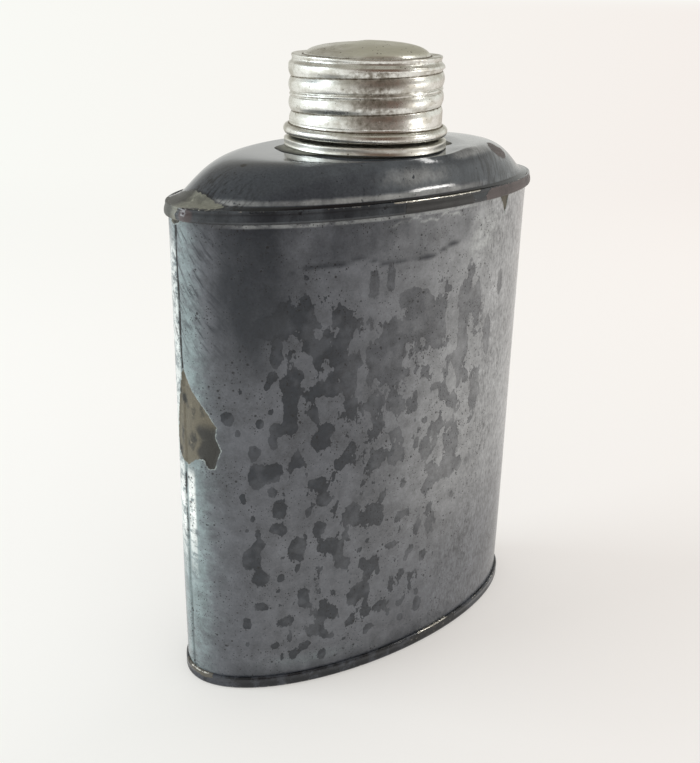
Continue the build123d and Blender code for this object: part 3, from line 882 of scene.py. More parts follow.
worn_edge = build_worn_edge()
pan_material, tree = new_material("base_pan_enamel")
smudges = clouds(place_in_mm(tree), 5, 4.0, 0.65).step(0.62, 0.4)
enamel = add_group(tree, graniteware, {
    "Ground": BAND_GROUND, "Slate": BAND_BLACK, "Drop color": BAND_BLACK, "Speck": ENAMEL_SPECK,
    "Smooth cover": smudges, "Drop field": 0.15, "Patch cover": 0.5, "Speck cover": 0.8,
    "Grain cover": 0.3,
})
flaked = add_group(tree, chipped, {
    "Depth": stored(tree, "chip_depth"), "Enamel": enamel["Color"], "Edge": BROKEN_EDGE,
    "Edge share": 0.0, "Metal": blend(stored(tree, "metal_tone"), BAND_METAL, NOSE_BAND_METAL),
    "Dark metal": METAL_DARK, "Light metal": METAL_LIGHT,
})
rubbed = add_group(tree, worn_edge, {
    "Wear": stored(tree, "lip_wear"), "Color": flaked["Color"], "Worn metal": WORN_METAL,
})
dress(pan, pan_material, add_node(tree, "BsdfPrincipled", {
    "Base Color": rubbed["Color"], "Metallic": rubbed["Bright"],
    "Roughness": roughness(flaked, ENAMEL_GLOSS, BARE_ROUGHNESS), "Normal": relief(enamel, flaked),
}))
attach(pan, "flask")
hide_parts("base_pan")

# Shoulder: one stamping of enamelled steel, domed from the oval body in to the round neck. Its
# edge is rolled over the wall's hook into a bead, with a thin lip and a groove at the dome's foot.
# The rolled rim from under its bead to the dome's foot: outward from the wall, and height.
RIM_PROFILE = [
    (0.45, -2.5), (0.5, -2.82), (0.68, -2.9), (0.95, -2.86), (1.16, -2.66), (1.23, -2.3), (1.21, -1.85),
    (1.12, -1.4), (0.98, -1.02), (0.9, -0.78), (0.9, -0.5), (0.88, -0.22), (0.77, -0.04), (0.62, 0),
    (0.48, -0.1), (0.36, -0.38), (0.24, -0.52), (0.1, -0.45),
]
RIM_HEIGHT = 120.0
DOME_FOOT_IN_X, DOME_FOOT_IN_Y, DOME_FOOT_RISE = 1.95, -0.1, 0.45
RIM_GROOVE_ROWS = 9
DOME_RINGS, DOME_FOOT_RINGS, SEAT_RINGS, UNDER_RINGS = 46, 2, 6, 2
DOME_SPREAD = 1.5
DOME_FLANK_SHARE, DOME_CROWN_SHARE = 3.5, 1.5
DOME_FRONT_RADIUS = 15.0
solder_low, solder_high = [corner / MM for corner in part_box("neck_solder")]
SEAT_HEIGHT, SEAT_HALF_WIDTH = solder_low.z, 26.0
NECK_HOLE = 16.65
RIGHT_LIFT = 0.7
BLISTER, BLISTER_RADIUS, BLISTER_HEIGHT = (-51.1, -4.6, 118.5), 1.75, 0.5
NOSE_RIM_CHIP = [
    (8, 116.8), (8, 121), (4.5, 121.6), (0.5, 122.5), (-3.3, 122.2), (-5.6, 121.6), (-7.6, 120.9),
    (-9.6, 120.5), (-8.6, 120.05), (-4, 120), (-2.3, 119.7), (-1.6, 118.4), (-2.4, 116.8),
]
RIM_CHIPS = [
    [(53, 116.5), (73.5, 116.5), (74.4, 118), (73, 119.75), (53.6, 119.75), (53.2, 118)],
    [(79.5, 116.5), (123, 116.5), (123, 119.7), (81, 119.8), (78.6, 118.4)],
    [(-64, 116.5), (-52, 116.5), (-51.4, 118.4), (-54, 119.6), (-63, 119.4)],
]
DOME_CHIP = [
    (28.5, -12.1), (30.3, -11.4), (31.6, -12.4), (33.7, -11.9), (34.3, -12.7), (33.1, -14.3),
    (30.6, -15.5), (28.3, -16), (26.5, -15.7), (26.7, -14.3),
]
DOME_DOT, DOME_DOT_RADIUS = (-36.2, -4.0, 0), 0.72
BLISTER_COLOUR = (0.075, 0.06, 0.062, 1)
OLIVE_METAL = (0.17, 0.17, 0.135, 1)
FRONT_METAL = (0.013, 0.013, 0.0125, 1)
BROWN_METAL = (0.086, 0.064, 0.06, 1)
DOME_GROUND = (0.105, 0.118, 0.13, 1)
# The colour of the dome's painted light.
DOME_LIGHT = (0.3, 0.305, 0.3, 1)
DOME_SLATE = (0.044, 0.05, 0.058, 1)
RIM_ENAMEL = (0.013, 0.016, 0.02, 1)
RIM_GROUND = (0.11, 0.122, 0.134, 1)
DOME_GLOSS, RIM_BARE_ROUGHNESS = 0.09, 0.45


def right_lift(radius, x):
    """How far the seat round the neck is lifted on its right by the rim's warp."""
    return RIGHT_LIFT * eased(radius, 19.3, 23.5) * eased(x, 2, 20)


def dome_ring(in_share, inset=0.0):
    """A ring of the dome at a share of the way in from its foot to the seat of the neck."""
    rise = (1 - (1 - in_share) ** DOME_FLANK_SHARE) ** DOME_CROWN_SHARE
    foot_a, foot_b = HALF_WIDTH - DOME_FOOT_IN_X, HALF_DEPTH - DOME_FOOT_IN_Y
    foot_height = RIM_HEIGHT + DOME_FOOT_RISE
    climb = (SEAT_HEIGHT - foot_height) * rise
    half_width = foot_a + (SEAT_HALF_WIDTH - foot_a) * in_share - inset
    half_depth = foot_b - DOME_FRONT_RADIUS + math.sqrt(DOME_FRONT_RADIUS**2 - climb**2) - inset
    ring = rings(half_width, half_depth, foot_height + climb - inset, wall_turns)
    ring[:, 2] += right_lift(np.hypot(ring[:, 0], ring[:, 1]), ring[:, 0]) * rise
    return ring


def between(first, second, count):
    """Rings that lead from one ring to another, without either of them."""
    shares = np.linspace(0, 1, count + 2)[1:-1, None, None]
    return first + (second - first) * shares


rim_line = smooth_line(RIM_PROFILE)
rim_rings = oval_rings(rim_line[:, :1], RIM_HEIGHT + rim_line[:, 1:])
# At the narrow ends the groove is filled, so that the lip runs level into the dome.
at_ends = eased(np.abs(np.cos(wall_turns)), 0.78, 0.96)
past_top = rim_line[:, 1].argmax() + 1
rim_rings[past_top:, :, 2] += (RIM_HEIGHT - rim_rings[past_top:, :, 2]) * at_ends
in_shares = np.linspace(0, 1, DOME_RINGS) ** DOME_SPREAD
dome_rings = np.stack([dome_ring(share) for share in in_shares])
hole_ring = rings(NECK_HOLE, NECK_HOLE, SEAT_HEIGHT, wall_turns)
inner_rings = np.stack([dome_ring(share, SHEET) for share in in_shares[::-3]])
inner_hole = hole_ring - (0, 0, SHEET)
shoulder_rows = np.concatenate([
    rim_rings, between(rim_rings[-1], dome_rings[0], DOME_FOOT_RINGS), dome_rings,
    between(dome_rings[-1], hole_ring, SEAT_RINGS), [hole_ring, inner_hole],
    between(inner_hole, inner_rings[0], UNDER_RINGS), inner_rings,
    oval_rings(column(-SHEET, RIM_OVERHANG - SHEET), RIM_HEIGHT - SHEET),
])
blister = np.exp(-((np.linalg.norm(shoulder_rows - BLISTER, axis=-1) / BLISTER_RADIUS) ** 2))
outward = shoulder_rows * (1 / HALF_WIDTH**2, 1 / HALF_DEPTH**2, 0)
outward = outward / np.linalg.norm(outward, axis=-1, keepdims=True)
shoulder_rows = shoulder_rows + outward * (BLISTER_HEIGHT * blister)[..., None]
shoulder = ring_piece("shoulder_enamel", shoulder_rows)

x, y, height = shoulder_rows.reshape(-1, 3).T
above_rim = height - RIM_HEIGHT
run = np.tile(wall_along[0], len(shoulder_rows))
row = np.repeat(np.arange(len(shoulder_rows)), WALL_COLUMNS)
on_rim = row < len(rim_rings)
on_dome = ~on_rim & (row < len(rim_rings) + DOME_FOOT_RINGS + DOME_RINGS + SEAT_RINGS)
at_nose = x < -0.7 * HALF_WIDTH
nose_chip = np.where(at_nose, depth_inside(y, height, [NOSE_RIM_CHIP]), NO_CHIP)
rim_chips = np.where(on_rim, depth_inside(run, height, RIM_CHIPS), NO_CHIP)
dome_chip = np.where(on_dome & (y < 0), depth_inside(x, y, [DOME_CHIP]), NO_CHIP)
past_lip = on_rim & (row >= len(rim_rings) - RIM_GROOVE_ROWS)
groove = past_lip | (on_dome & (above_rim - 0.15 < 0.4))
groove = groove * (1 - np.tile(at_ends, len(shoulder_rows)))
under_rim_line = eased(above_rim, -2.45, -2.75) * on_rim
lip_groove = hump(above_rim, -0.78, 0.22) * on_rim * (1 - past_lip)
# Painted light on the dome: a highlight along its foot, a pale patch on its front and paler reflections
# towards its right end.
foot_light = band(above_rim, 0.45, 0.8, 1.2, 2.3) * eased(x, -49, -44) * (1 - 0.75 * eased(x, 2, 26))
front_light = hump(x, -2, 10) * hump(above_rim, 4.8, 2.2)
right_light = eased(x, 22, 34) * eased(above_rim, 3.6, 6)
right_light = most(right_light, eased(x, 5, 13) * eased(above_rim, 6.6, 8))
far_light = eased(x, 30, 42) * eased(above_rim, 0.6, 2)
keep_values(
    shoulder,
    chip_depth=np.where(on_rim | on_dome, most(nose_chip, rim_chips, dome_chip), NO_CHIP),
    olive_metal=at_nose * (0.22 + 0.78 * eased(-y, -0.8, 1.4)),
    brown_metal=(run > 76) | (dome_chip > -2),
    lip_wear=hump(above_rim, -0.12, 0.2) * on_rim * stretches(
        run, (1, 49, 78), (0.42, -7, 12), (0.42, 14, 46), (0.5, -70, -45), (0.4, 84, 112)
    ),
    groove_dirt=most(groove, 0.9 * under_rim_line, 0.5 * lip_groove),
    blister=blister,
    light_share=most(foot_light, 0.75 * right_light, 0.7 * front_light, 0.95 * far_light) * on_dome,
    # Painted shade on the dome's left, towards the narrow end, in the next two covers; the second also
    # marks the rim.
    left_dark=on_dome * eased(x, -12, -34),
    dark_share=most(on_rim, 0.35 * eased(x, 0, -30)),
    stroke_cover=on_dome * eased(x, -34, -44),
    right_strokes=on_dome * eased(x, 12, 20) * (1 - 0.7 * eased(above_rim, 6.8, 7.8)),
    far_share=on_dome * eased(x, 20, 42),
    neck_dark=on_dome * eased(x, 8, 16) * eased(np.hypot(x, y), 27, 20),
)

shoulder_material, tree = new_material("shoulder_enamel")
place = place_in_mm(tree)
# Where the painted light lies, the dome takes a paler colour and less slate.
light = stored(tree, "light_share")
light = (centred(clouds(place, 3.2, 4.0, 0.62), 1.7) * 0.5 + light) * light.step(0.02, 0.2)
dark, far = stored(tree, "dark_share"), stored(tree, "far_share")
ground = blend(light.step(0.0, 1.0), DOME_GROUND, DOME_LIGHT)
slate = blend(dark.step(0.5, 1.0), DOME_SLATE, RIM_ENAMEL)
cover = light * -0.6 + 0.62 + dark * 0.06
# The extra slate on the dome's left is painted shade; the slate by the neck is the enamel's own.
cover = cover + stored(tree, "left_dark") * 0.4 + stored(tree, "neck_dark") * 0.9
enamel = add_group(tree, graniteware, {
    "Ground": blend(dark.step(0.5, 1.0), ground, RIM_GROUND), "Slate": slate, "Drop color": slate,
    "Speck": ENAMEL_SPECK, "Smooth cover": cover, "Drop field": 0.2, "Patch cover": 0.35,
    "Speck cover": 0.7, "Grain cover": 0.2,
})
left_strokes = clouds(stretch(place, 0.3, 1, 0.3), 0.7, 3.0, 0.6).step(0.48, 0.66)
right_strokes = clouds(stretch(place, 1, 0.22, 0.22), 0.8, 3.0, 0.6).step(0.4, 0.6)
strokes = left_strokes * stored(tree, "stroke_cover")
strokes = strokes.or_more(right_strokes * stored(tree, "right_strokes"))
colour = blend(strokes * 0.7, enamel["Color"], ENAMEL_SPECK)
far_grain = centred(clouds(stretch(place, 1, 1, 0.4), 0.8, 3.0, 0.7), 1.4)
colour = shade(colour, far_grain * far + 1.0)
colour = blend(stored(tree, "groove_dirt") * 0.88, colour, ENAMEL_SPECK)
dot_gap = stretch(place, 1, 1, 0).through("VectorMath", {1: DOME_DOT}, "Value", operation="DISTANCE")
colour = blend((dot_gap / DOME_DOT_RADIUS).step(1.15, 0.85), colour, ENAMEL_SPECK)
colour = blend(stored(tree, "blister").step(0.2, 0.55), colour, BLISTER_COLOUR)
colour = blend(stored(tree, "chip_depth").step(-0.45, -0.1) * 0.6, colour, ENAMEL_SPECK)
rim_metal = blend(stored(tree, "olive_metal"), FRONT_METAL, OLIVE_METAL)
rim_metal = blend(stored(tree, "brown_metal"), rim_metal, BROWN_METAL)
flaked = add_group(tree, chipped, {
    "Depth": stored(tree, "chip_depth"), "Enamel": colour, "Edge": BROKEN_EDGE, "Edge share": 0.0,
    "Metal": rim_metal, "Dark metal": shade(rim_metal, 0.6), "Light metal": shade(rim_metal, 1.4),
})
rubbed = add_group(tree, worn_edge, {
    "Wear": stored(tree, "lip_wear"), "Color": flaked["Color"], "Worn metal": WORN_METAL,
})
dress(shoulder, shoulder_material, add_node(tree, "BsdfPrincipled", {
    "Base Color": rubbed["Color"], "Metallic": rubbed["Bright"],
    "Roughness": roughness(flaked, DOME_GLOSS, RIM_BARE_ROUGHNESS) + far * 0.12,
    "Normal": relief(enamel, flaked, 0.5),
}))
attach(shoulder, "flask")
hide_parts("shoulder")

# Solder: soft solder run in under the neck's flange to hold it. It has crept out over the
# enamel on the left and on the right, and has gone a dull olive grey.
SOLDER_COLUMNS = 240
FLANGE_GAP = 0.03
SOLDER_WAIST, SOLDER_REACH = 18.2, 18.85
# Each spill: its middle and half width in degrees, its soft end in radians, and how far out.
LEFT_SPILL = {"middle": 172, "half": 31, "fade": 0.3, "out": 2.9}
RIGHT_SPILL = {"middle": -16, "half": 27, "fade": 0.35, "out": 2.7}
SOLDER_THICKNESS = 0.14
SOLDER_OLIVE = (0.15, 0.148, 0.118, 1)
SOLDER_LIGHT = (0.26, 0.26, 0.22, 1)
SOLDER_DIRT = (0.02, 0.019, 0.015, 1)
SOLDER_GRAIN = 0.08 * MM


def turn_gap(turns, middle):
    """The angle between each turn and a middle one, which is in degrees."""
    return np.abs((turns - math.radians(middle) + math.pi) % (2 * math.pi) - math.pi)


def spilled(turns, middle, half, fade, out):
    """How far the solder has crept out at each turn, round a middle turn in degrees."""
    share = eased(turn_gap(turns, middle), math.radians(half), math.radians(half) - fade)
    return (out + 0.16 * np.sin(9 * turns) + 0.09 * np.sin(23 * turns + 1)) * share


def turned(line, turns):
    """Rings round the neck's axis, from rows of radius and height."""
    line = np.asarray(line, float)
    return rings(line[:, :1], line[:, :1], line[:, 1:], turns)


solder_turns = turns_of(SOLDER_COLUMNS)
solder_edge = SOLDER_REACH + spilled(solder_turns, **LEFT_SPILL) + spilled(solder_turns, **RIGHT_SPILL)
solder_foot = SEAT_HEIGHT + right_lift(solder_edge, solder_edge * np.cos(solder_turns))
solder_top = solder_high.z - FLANGE_GAP
solder_rows = np.stack([
    rings(radius, radius, height, solder_turns)
    for radius, height in (
        (NECK_HOLE, SEAT_HEIGHT), (solder_edge - 0.1, solder_foot), (solder_edge, solder_foot + 0.04),
        (solder_edge - 0.12, solder_foot + SOLDER_THICKNESS),
        ((solder_edge + SOLDER_WAIST) / 2, solder_foot + 1.4 * SOLDER_THICKNESS),
        (SOLDER_WAIST + 0.2, solder_foot + 0.4), (SOLDER_WAIST, solder_top - 0.2),
        (SOLDER_WAIST, solder_top), (NECK_HOLE, solder_top),
    )
])
solder = ring_piece("neck_solder_run", solder_rows)
solder_out = np.hypot(solder_rows[..., 0], solder_rows[..., 1])
keep_values(solder, rim_dirt=eased(solder_out - solder_edge, -0.4, -0.05))

solder_material, tree = new_material("tarnished_solder")
place = place_in_mm(tree)
tarnish = clouds(place, 1.8, 4.0, 0.65)
colour = blend(tarnish.step(0.45, 0.7), SOLDER_OLIVE, SOLDER_LIGHT)
dress(solder, solder_material, add_node(tree, "BsdfPrincipled", {
    "Base Color": blend(stored(tree, "rim_dirt"), colour, SOLDER_DIRT), "Metallic": 0.3,
    "Roughness": tarnish.step(-0.6, 1.4), "Normal": bump(clouds(place, 0.7, 3.0, 0.6), SOLDER_GRAIN),
}))
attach(solder, "flask")
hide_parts("neck_solder")

# Neck: a drawn aluminium collar soldered to the shoulder, with a thread rolled out of its wall
# and a flange whose edge is turned down towards the seat.
collar_low, collar_high = [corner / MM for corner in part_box("neck_collar")]
NECK_COLUMNS = 300
NECK_TOP, FLANGE_RADIUS = collar_high.z, collar_high.x
NECK_BORE, NECK_RADIUS = 15.8, 16.6
FLANGE_TOP, FLANGE_UNDER, FLANGE_EDGE_BOTTOM = 131.05, 130.2, 128.72
FLANGE_EDGE_WIDTH = 0.6
MOUTH_PROFILE = [
    (NECK_BORE, -0.5), (NECK_BORE + 0.03, -0.2), (NECK_BORE + 0.2, -0.03), (NECK_RADIUS - 0.4, 0),
    (NECK_RADIUS - 0.15, -0.06), (NECK_RADIUS, -0.3),
]
FLANGE_ROOT = [(0, 131.5), (0.08, 131.18), (0.4, FLANGE_TOP)]
FLANGE_OUTSIDE = [
    (-0.9, FLANGE_TOP - 0.25), (-0.2, FLANGE_TOP - 0.5), (-0.04, FLANGE_TOP - 0.62),
    (0, FLANGE_TOP - 0.8), (-0.08, FLANGE_EDGE_BOTTOM + 0.7), (0, FLANGE_EDGE_BOTTOM + 0.2),
    (-0.15, FLANGE_EDGE_BOTTOM + 0.02), (-0.4, FLANGE_EDGE_BOTTOM),
    (-FLANGE_EDGE_WIDTH, FLANGE_EDGE_BOTTOM + 0.12), (-FLANGE_EDGE_WIDTH, FLANGE_UNDER),
]
THREAD_PITCH, THREAD_HEIGHT = 3.85, 0.58
NECK_RIB = {"start_height": 134.45, "start_turn": 180, "laps": 2.75, "base": 1.5, "crest": 0.6}
THREAD_ROW, THREAD_FADE = 0.12, 0.5
BORE_GROOVE_SHARE = 0.6
ALUMINIUM_BRIGHT = (0.86, 0.865, 0.84, 1)
ALUMINIUM_DULL = (0.55, 0.53, 0.48, 1)
ALUMINIUM_FILM = (0.78, 0.78, 0.69, 1)
# The colour of dirt in creases and of the painted dark reflection on the cap's side.
ALUMINIUM_GRIME = (0.14, 0.11, 0.075, 1)
ALUMINIUM_EDGE = (0.7, 0.68, 0.65, 1)
SPIN_HEIGHT = 0.02 * MM


def thread_laps(turns, heights, start_height, start_turn, laps):
    """For each lap of a right-hand thread: how far it has wound, how far each point is above its
    middle, and its strength, which fades at its ends."""
    for lap in range(math.ceil(laps)):
        wound = (turns - math.radians(start_turn)) % (2 * math.pi) + 2 * math.pi * lap
        above = heights - start_height - THREAD_PITCH * wound / (2 * math.pi)
        whole = 2 * math.pi * laps
        yield wound, above, band(wound, 0, THREAD_FADE, whole - THREAD_FADE, whole)


def rib_rise(turns, heights, start_height, start_turn, laps, base, crest):
    """The share of its full height that a thread's rib has at each point."""
    return most(*(
        eased(np.abs(above), base / 2, crest / 2) * strength
        for wound, above, strength in thread_laps(turns, heights, start_height, start_turn, laps)
    ))


neck_turns = turns_of(NECK_COLUMNS)
mouth_line = smooth_line(MOUTH_PROFILE) + (0, NECK_TOP)
flange_line = smooth_line(
    [(NECK_RADIUS + out, height) for out, height in FLANGE_ROOT]
    + [(FLANGE_RADIUS + out, height) for out, height in FLANGE_OUTSIDE]
)
thread_heights = np.arange(NECK_TOP - 0.4, FLANGE_ROOT[0][1], -THREAD_ROW)[:, None]
thread_radii = NECK_RADIUS + THREAD_HEIGHT * rib_rise(neck_turns, thread_heights, **NECK_RIB)
bore_heights = np.arange(collar_low.z, NECK_TOP - 0.6, 2 * THREAD_ROW)[:, None]
bore_rise = rib_rise(neck_turns, bore_heights, **NECK_RIB)
bore_radii = NECK_BORE + BORE_GROOVE_SHARE * THREAD_HEIGHT * bore_rise
flange_rings = turned(flange_line, neck_turns)
flange_wave = 0.08 * np.sin(2 * neck_turns + 0.6) + 0.07 * np.sin(5 * neck_turns)
flange_rings[..., 2] += flange_wave * eased(flange_line[:, :1], NECK_RADIUS + 0.5, FLANGE_RADIUS)
neck_rows = np.concatenate([
    rings(bore_radii, bore_radii, bore_heights, neck_turns), turned(mouth_line, neck_turns),
    rings(thread_radii, thread_radii, thread_heights, neck_turns), flange_rings,
    turned([(NECK_RADIUS, FLANGE_UNDER), (NECK_RADIUS, collar_low.z)], neck_turns),
])
neck = ring_piece("aluminium_neck", neck_rows)
neck_out, neck_height = np.hypot(neck_rows[..., 0], neck_rows[..., 1]), neck_rows[..., 2]
valley = (neck_out < NECK_RADIUS + 0.15) * (neck_height > FLANGE_TOP - 0.2)
under_flange = eased(neck_height, FLANGE_EDGE_BOTTOM + 0.3, FLANGE_EDGE_BOTTOM - 0.1)
keep_values(neck, grime=most(0.55 * valley, 0.3 * under_flange), film=np.full(neck_out.shape, 0.35))


def build_spun_aluminium():
    """Old spun aluminium: fine rings from the tool, dull patches, and dirt in pits and creases. Its dirt
    colour also carries a painted dark reflection where a piece stores one.
    """
    group, given = new_group(
        "spun aluminium", colours=["Bright", "Dull", "Film", "Grime"],
        numbers=["Grime cover", "Film cover", "Wear"],
    )
    place = place_in_mm(group)
    x = place.through("SeparateXYZ")
    y, z = x.beside(1), x.beside(2)
    across = x.through("CombineXYZ", {1: y}).length() + z
    spun = clouds((x * 0.07).through("CombineXYZ", {1: y * 0.07, 2: across}), 0.28, 3.0, 0.7)
    patches = clouds(stretch(place, 1, 1, 1.8), 4.5, 4.0, 0.6)
    small = clouds(place, 0.9, 3.0, 0.6)
    dull = (small * 0.4 + patches).step(0.6, 0.88) * given["Wear"]
    film = given["Film cover"] * small.step(0.1, 0.5)
    colour = blend(film, blend(dull, given["Bright"], given["Dull"]), given["Film"])
    colour = shade(colour, spun * 0.3 + 0.85)
    pit_gap, pit_number = cells(place, 0.85)
    pit_reach = (pit_number * 0.48 - 0.24) * patches.step(0.36, 0.6).or_more(given["Film cover"])
    pit = (pit_reach - pit_gap).step(-0.05, 0.02)
    dirt = (centred(small, 0.8) + given["Grime cover"]).step(0.12, 0.85).or_more(pit * 0.8)
    return give_out(group, {
        "Color": blend(dirt, colour, given["Grime"]),
        "Roughness": dull * 0.14 + 0.19 + film * 0.15 + spun * 0.1 + dirt * 0.3,
        "Height": patches * 1.6 + spun - pit * 1.5,
    })


spun_aluminium = build_spun_aluminium()


def dress_in_aluminium(piece, name, wear):
    """Gives a piece spun aluminium, with the dirt, painted dark reflection and film that the piece
    stores.
    """
    material, tree = new_material(name)
    metal = add_group(tree, spun_aluminium, {
        "Bright": ALUMINIUM_BRIGHT, "Dull": ALUMINIUM_DULL, "Film": ALUMINIUM_FILM,
        "Grime": ALUMINIUM_GRIME, "Grime cover": stored(tree, "grime"),
        "Film cover": stored(tree, "film"), "Wear": wear,
    })
    dress(piece, material, add_node(tree, "BsdfPrincipled", {
        "Base Color": metal["Color"], "Metallic": 1.0, "Roughness": metal["Roughness"],
        "Specular Tint": ALUMINIUM_EDGE, "Normal": bump(metal["Height"], SPIN_HEIGHT),
    }))


dress_in_aluminium(neck, "neck_aluminium", wear=0.8)
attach(neck, "flask")
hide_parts("neck_collar")

# Liner: a thin disc cut from pressed cork and pushed up into the cap's crown, where it stays by
# its own grip. Each closing has pressed the neck's rim into its underside.
liner_low, liner_high = [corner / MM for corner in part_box("cap_liner")]
LINER_RADIUS = liner_high.x
LINER_COLUMNS = 180
LINER_ROUND = 0.2
PRESSED_DEPTH, PRESSED_WIDTH = 0.12, 0.55
CORK = (0.42, 0.27, 0.14, 1)
CORK_DARK = (0.16, 0.085, 0.04, 1)
CORK_LIGHT = (0.56, 0.4, 0.24, 1)
CORK_GRAIN = 0.2 * MM
under_radii = np.concatenate([np.linspace(2, 14.5, 8), np.arange(14.8, LINER_RADIUS - LINER_ROUND, 0.15)])
pressed = PRESSED_DEPTH * hump(under_radii, (NECK_BORE + NECK_RADIUS) / 2, PRESSED_WIDTH)
liner_line = list(zip(under_radii, liner_low.z + pressed)) + [
    (LINER_RADIUS, liner_low.z + LINER_ROUND), (LINER_RADIUS, liner_high.z - LINER_ROUND),
    (LINER_RADIUS - LINER_ROUND, liner_high.z), (0.5 * LINER_RADIUS, liner_high.z),
    (0.1 * LINER_RADIUS, liner_high.z),
]
liner_rows = turned(liner_line, turns_of(LINER_COLUMNS))
liner = ring_piece("cork_liner", liner_rows, poles=(liner_low.z, liner_high.z))
liner_material, tree = new_material("cork")
place = place_in_mm(tree)
granule_gap, granule_tone = cells(place, 1.3)
pores = clouds(place, 0.5, 3.0, 0.7).step(0.58, 0.7)
dress(liner, liner_material, add_node(tree, "BsdfPrincipled", {
    "Base Color": blend(pores, blend(granule_tone, CORK, CORK_LIGHT), CORK_DARK), "Roughness": 0.85,
    "Normal": bump(granule_gap, CORK_GRAIN),
}))
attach(liner, "liner")
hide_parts("cap_liner")

# Cap: spun from thin aluminium and screwed on the neck. Its thread is rolled through the wall
# as narrow double grooves, its lower edge is rolled to a bead, and its low crown is dented.
CAP_TOP = (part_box("screw_cap")[1] / MM).z
CAP_COLUMNS = 300
CAP_RADIUS, CAP_INNER_RADIUS = 18.0, 17.5
CAP_WALL = 0.5
CAP_LIP_TOP, CAP_SEAT = 149.1, 148.45
CROWN_RADIUS, CROWN_RINGS, CROWN_INNER_RINGS = 14.6, 30, 12
LIP_PROFILE = [
    (14.75, 149.0), (15.0, 149.02), (15.8, 149.08), (16.7, 149.16), (17.1, 149.2), (17.32, 149.1),
    (17.4, 148.88), (17.33, 148.62), (17.2, 148.3), (17.22, 148.0), (17.38, 147.72), (17.66, 147.45),
    (17.9, 147.2), (18.02, 146.85), (18.02, 146.6),
]
BEAD_PROFILE = [
    (17.82, 134.3), (17.86, 133.9), (18.0, 133.66), (18.16, 133.58), (18.5, 133.52), (18.9, 133.3),
    (19.18, 132.9), (19.25, 132.45), (19.16, 132.0), (18.9, 131.62), (18.5, 131.43), (18.1, 131.42),
    (17.7, 131.55), (17.52, 131.9), (17.5, 132.4),
]
LINER_POCKET = [(17.3, 147.55), (16.6, 147.55), (16.6, 148.45), (15.2, 148.45)]
CAP_THREAD = {"start_height": 135.52, "start_turn": 60, "laps": 2.82}
CAP_RIB_BASE, CAP_RIB_CREST = 1.9, 0.85
GROOVE_DIP, GROOVE_WIDTH, GROOVE_RIDGE = 0.42, 0.85, 0.22
LINE_DEPTH, LINE_WIDTH, LINE_APART = 0.17, 0.14, 1.0
# Dents: place from left to right and from front to back, radius and depth.
CROWN_DENTS = [(-6, 3.5, 4.2, 0.3), (-10.5, -3, 3.4, 0.3), (1, -6.5, 3.5, 0.14), (8, 3, 4, 0.12)]
CROWN_STEP, CROWN_STEP_TURN = 0.34, math.radians(-38)
# Where the painted dark reflection lies on the cap's wall: its turn and half width in degrees.
STAIN_TURN, STAIN_HALF = -121, 24
cap_turns = turns_of(CAP_COLUMNS)


def crown_line(radius, low, high, count):
    """Radius and height down the crown from its middle to its foot."""
    share = np.linspace(0, 1, count + 1)[1:, None]
    corners = np.array([
        (0, high), (0.68 * radius, high), (0.95 * radius, low + 0.62 * (high - low)), (radius, low),
    ])
    left = 1 - share
    return (
        corners[0] * left**3 + 3 * corners[1] * left**2 * share
        + 3 * corners[2] * left * share**2 + corners[3] * share**3
    )


def groove_lines(heights):
    """How deep the rolled thread's lines are cut into the cap's outside at each point."""
    cut = []
    for wound, above, strength in thread_laps(cap_turns, heights, **CAP_THREAD):
        double = band(wound, 1.6 * math.pi, 2.4 * math.pi, 3.6 * math.pi, 4.3 * math.pi)
        dip = GROOVE_DIP * hump(above, 0, GROOVE_WIDTH + 0.25 * double)
        dip = dip - GROOVE_RIDGE * double * hump(above, 0, 0.3)
        lower = LINE_DEPTH * hump(above, -LINE_APART * double / 2, LINE_WIDTH)
        upper = LINE_DEPTH * double * hump(above, LINE_APART / 2, LINE_WIDTH)
        cut.append((dip + most(lower, upper)) * strength)
    return most(0, *cut)


wall_heights = np.arange(LIP_PROFILE[-1][1] - 0.1, BEAD_PROFILE[0][1], -0.1)[:, None]
cap_cut = groove_lines(wall_heights)
barrel_radii = CAP_RADIUS + 0.03 - 0.14 * eased(wall_heights, 139, 135.5) - cap_cut
inside_heights = np.arange(BEAD_PROFILE[-1][1] + 0.2, 147.4, 0.2)[:, None]
inside_radii = CAP_INNER_RADIUS - THREAD_HEIGHT * rib_rise(
    cap_turns, inside_heights, **CAP_THREAD, base=CAP_RIB_BASE, crest=CAP_RIB_CREST
)
crown_points = crown_line(CROWN_RADIUS, CAP_LIP_TOP, CAP_TOP, CROWN_RINGS)
crown_under = crown_line(CROWN_RADIUS - CAP_WALL, CAP_SEAT, CAP_TOP - CAP_WALL, CROWN_INNER_RINGS)
lip_line, bead_line = smooth_line(LIP_PROFILE), smooth_line(BEAD_PROFILE)
cap_rows = np.concatenate([
    turned(crown_points, cap_turns), turned(lip_line, cap_turns),
    rings(barrel_radii, barrel_radii, wall_heights, cap_turns), turned(bead_line, cap_turns),
    rings(inside_radii, inside_radii, inside_heights, cap_turns), turned(LINER_POCKET, cap_turns),
    turned(crown_under[::-1], cap_turns),
])
cap_x, cap_y, cap_z = np.moveaxis(cap_rows, -1, 0)
on_crown = eased(cap_z, CAP_LIP_TOP + 0.1, CAP_LIP_TOP + 0.9)
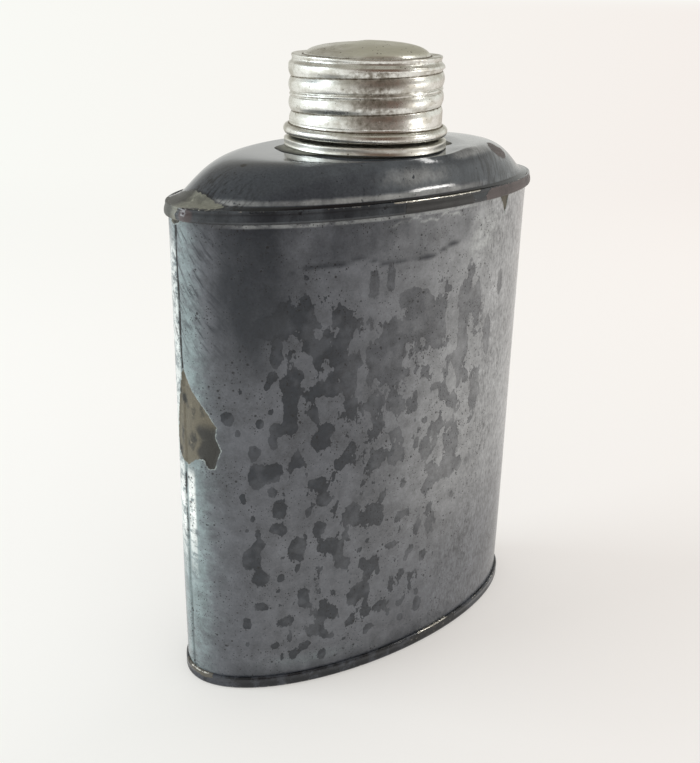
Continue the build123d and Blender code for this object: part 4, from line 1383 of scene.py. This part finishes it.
for dent_x, dent_y, dent_radius, dent_depth in CROWN_DENTS:
    cap_z -= dent_depth * hump(np.hypot(cap_x - dent_x, cap_y - dent_y), 0, dent_radius) * on_crown
stepped = cap_x * math.cos(CROWN_STEP_TURN) + cap_y * math.sin(CROWN_STEP_TURN)
cap_z -= CROWN_STEP * eased(stepped, 0.6, -3.4) * on_crown
lip_wave = 0.06 + 0.05 * np.sin(2 * cap_turns) + 0.03 * np.sin(5 * cap_turns + 1)
lip_share = eased(cap_z, 147.6, 148.9) * (1 - on_crown)
cap_z -= lip_wave * lip_share * (np.hypot(cap_x, cap_y) > 14.4)
cap = ring_piece("screw_cap_shell", cap_rows, poles=(cap_z[0].mean(), CAP_TOP - CAP_WALL))

lip_radius, lip_height = lip_line[:, :1], lip_line[:, 1:]
first_wall = len(crown_points) + len(lip_line)
first_bead = first_wall + len(cap_cut)
# Dirt lies at the crown's foot, on the lip, in the rolled lines and in the bead's crease. A broad dark
# band down the side that faces the camera is a painted reflection of the dark room.
cap_grime = np.zeros(cap_z.shape)
cap_grime[len(crown_points) - 1] = 0.6
cap_grime[len(crown_points):first_wall] = most(
    0.7 * hump(lip_radius, 14.75, 0.35), 0.35 * hump(lip_height, 148.2, 0.25)
)
cap_grime[first_wall:first_bead] = most(
    0.75 * eased(cap_cut, GROOVE_DIP + 0.02, GROOVE_DIP + 0.8 * LINE_DEPTH),
    # The painted dark reflection of the room, on the side that faces the camera.
    0.48 * hump(turn_gap(cap_turns, STAIN_TURN), 0, math.radians(STAIN_HALF)),
)
bead_crease = hump(bead_line[:, 1:], 133.72, 0.14) * (bead_line[:, :1] < 18.3)
cap_grime[first_bead:first_bead + len(bead_line)] = bead_crease
cap_film = 0.18 + 0.82 * eased(cap_z, CAP_LIP_TOP + 0.05, CAP_LIP_TOP + 0.6)
cap_film = cap_film * (1 - 0.8 * on_crown * eased(stepped, -1, -10))
keep_values(cap, poles=2, grime=cap_grime, film=cap_film)
dress_in_aluminium(cap, "cap_aluminium", wear=1.0)
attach(cap, "cap")
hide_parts("screw_cap")
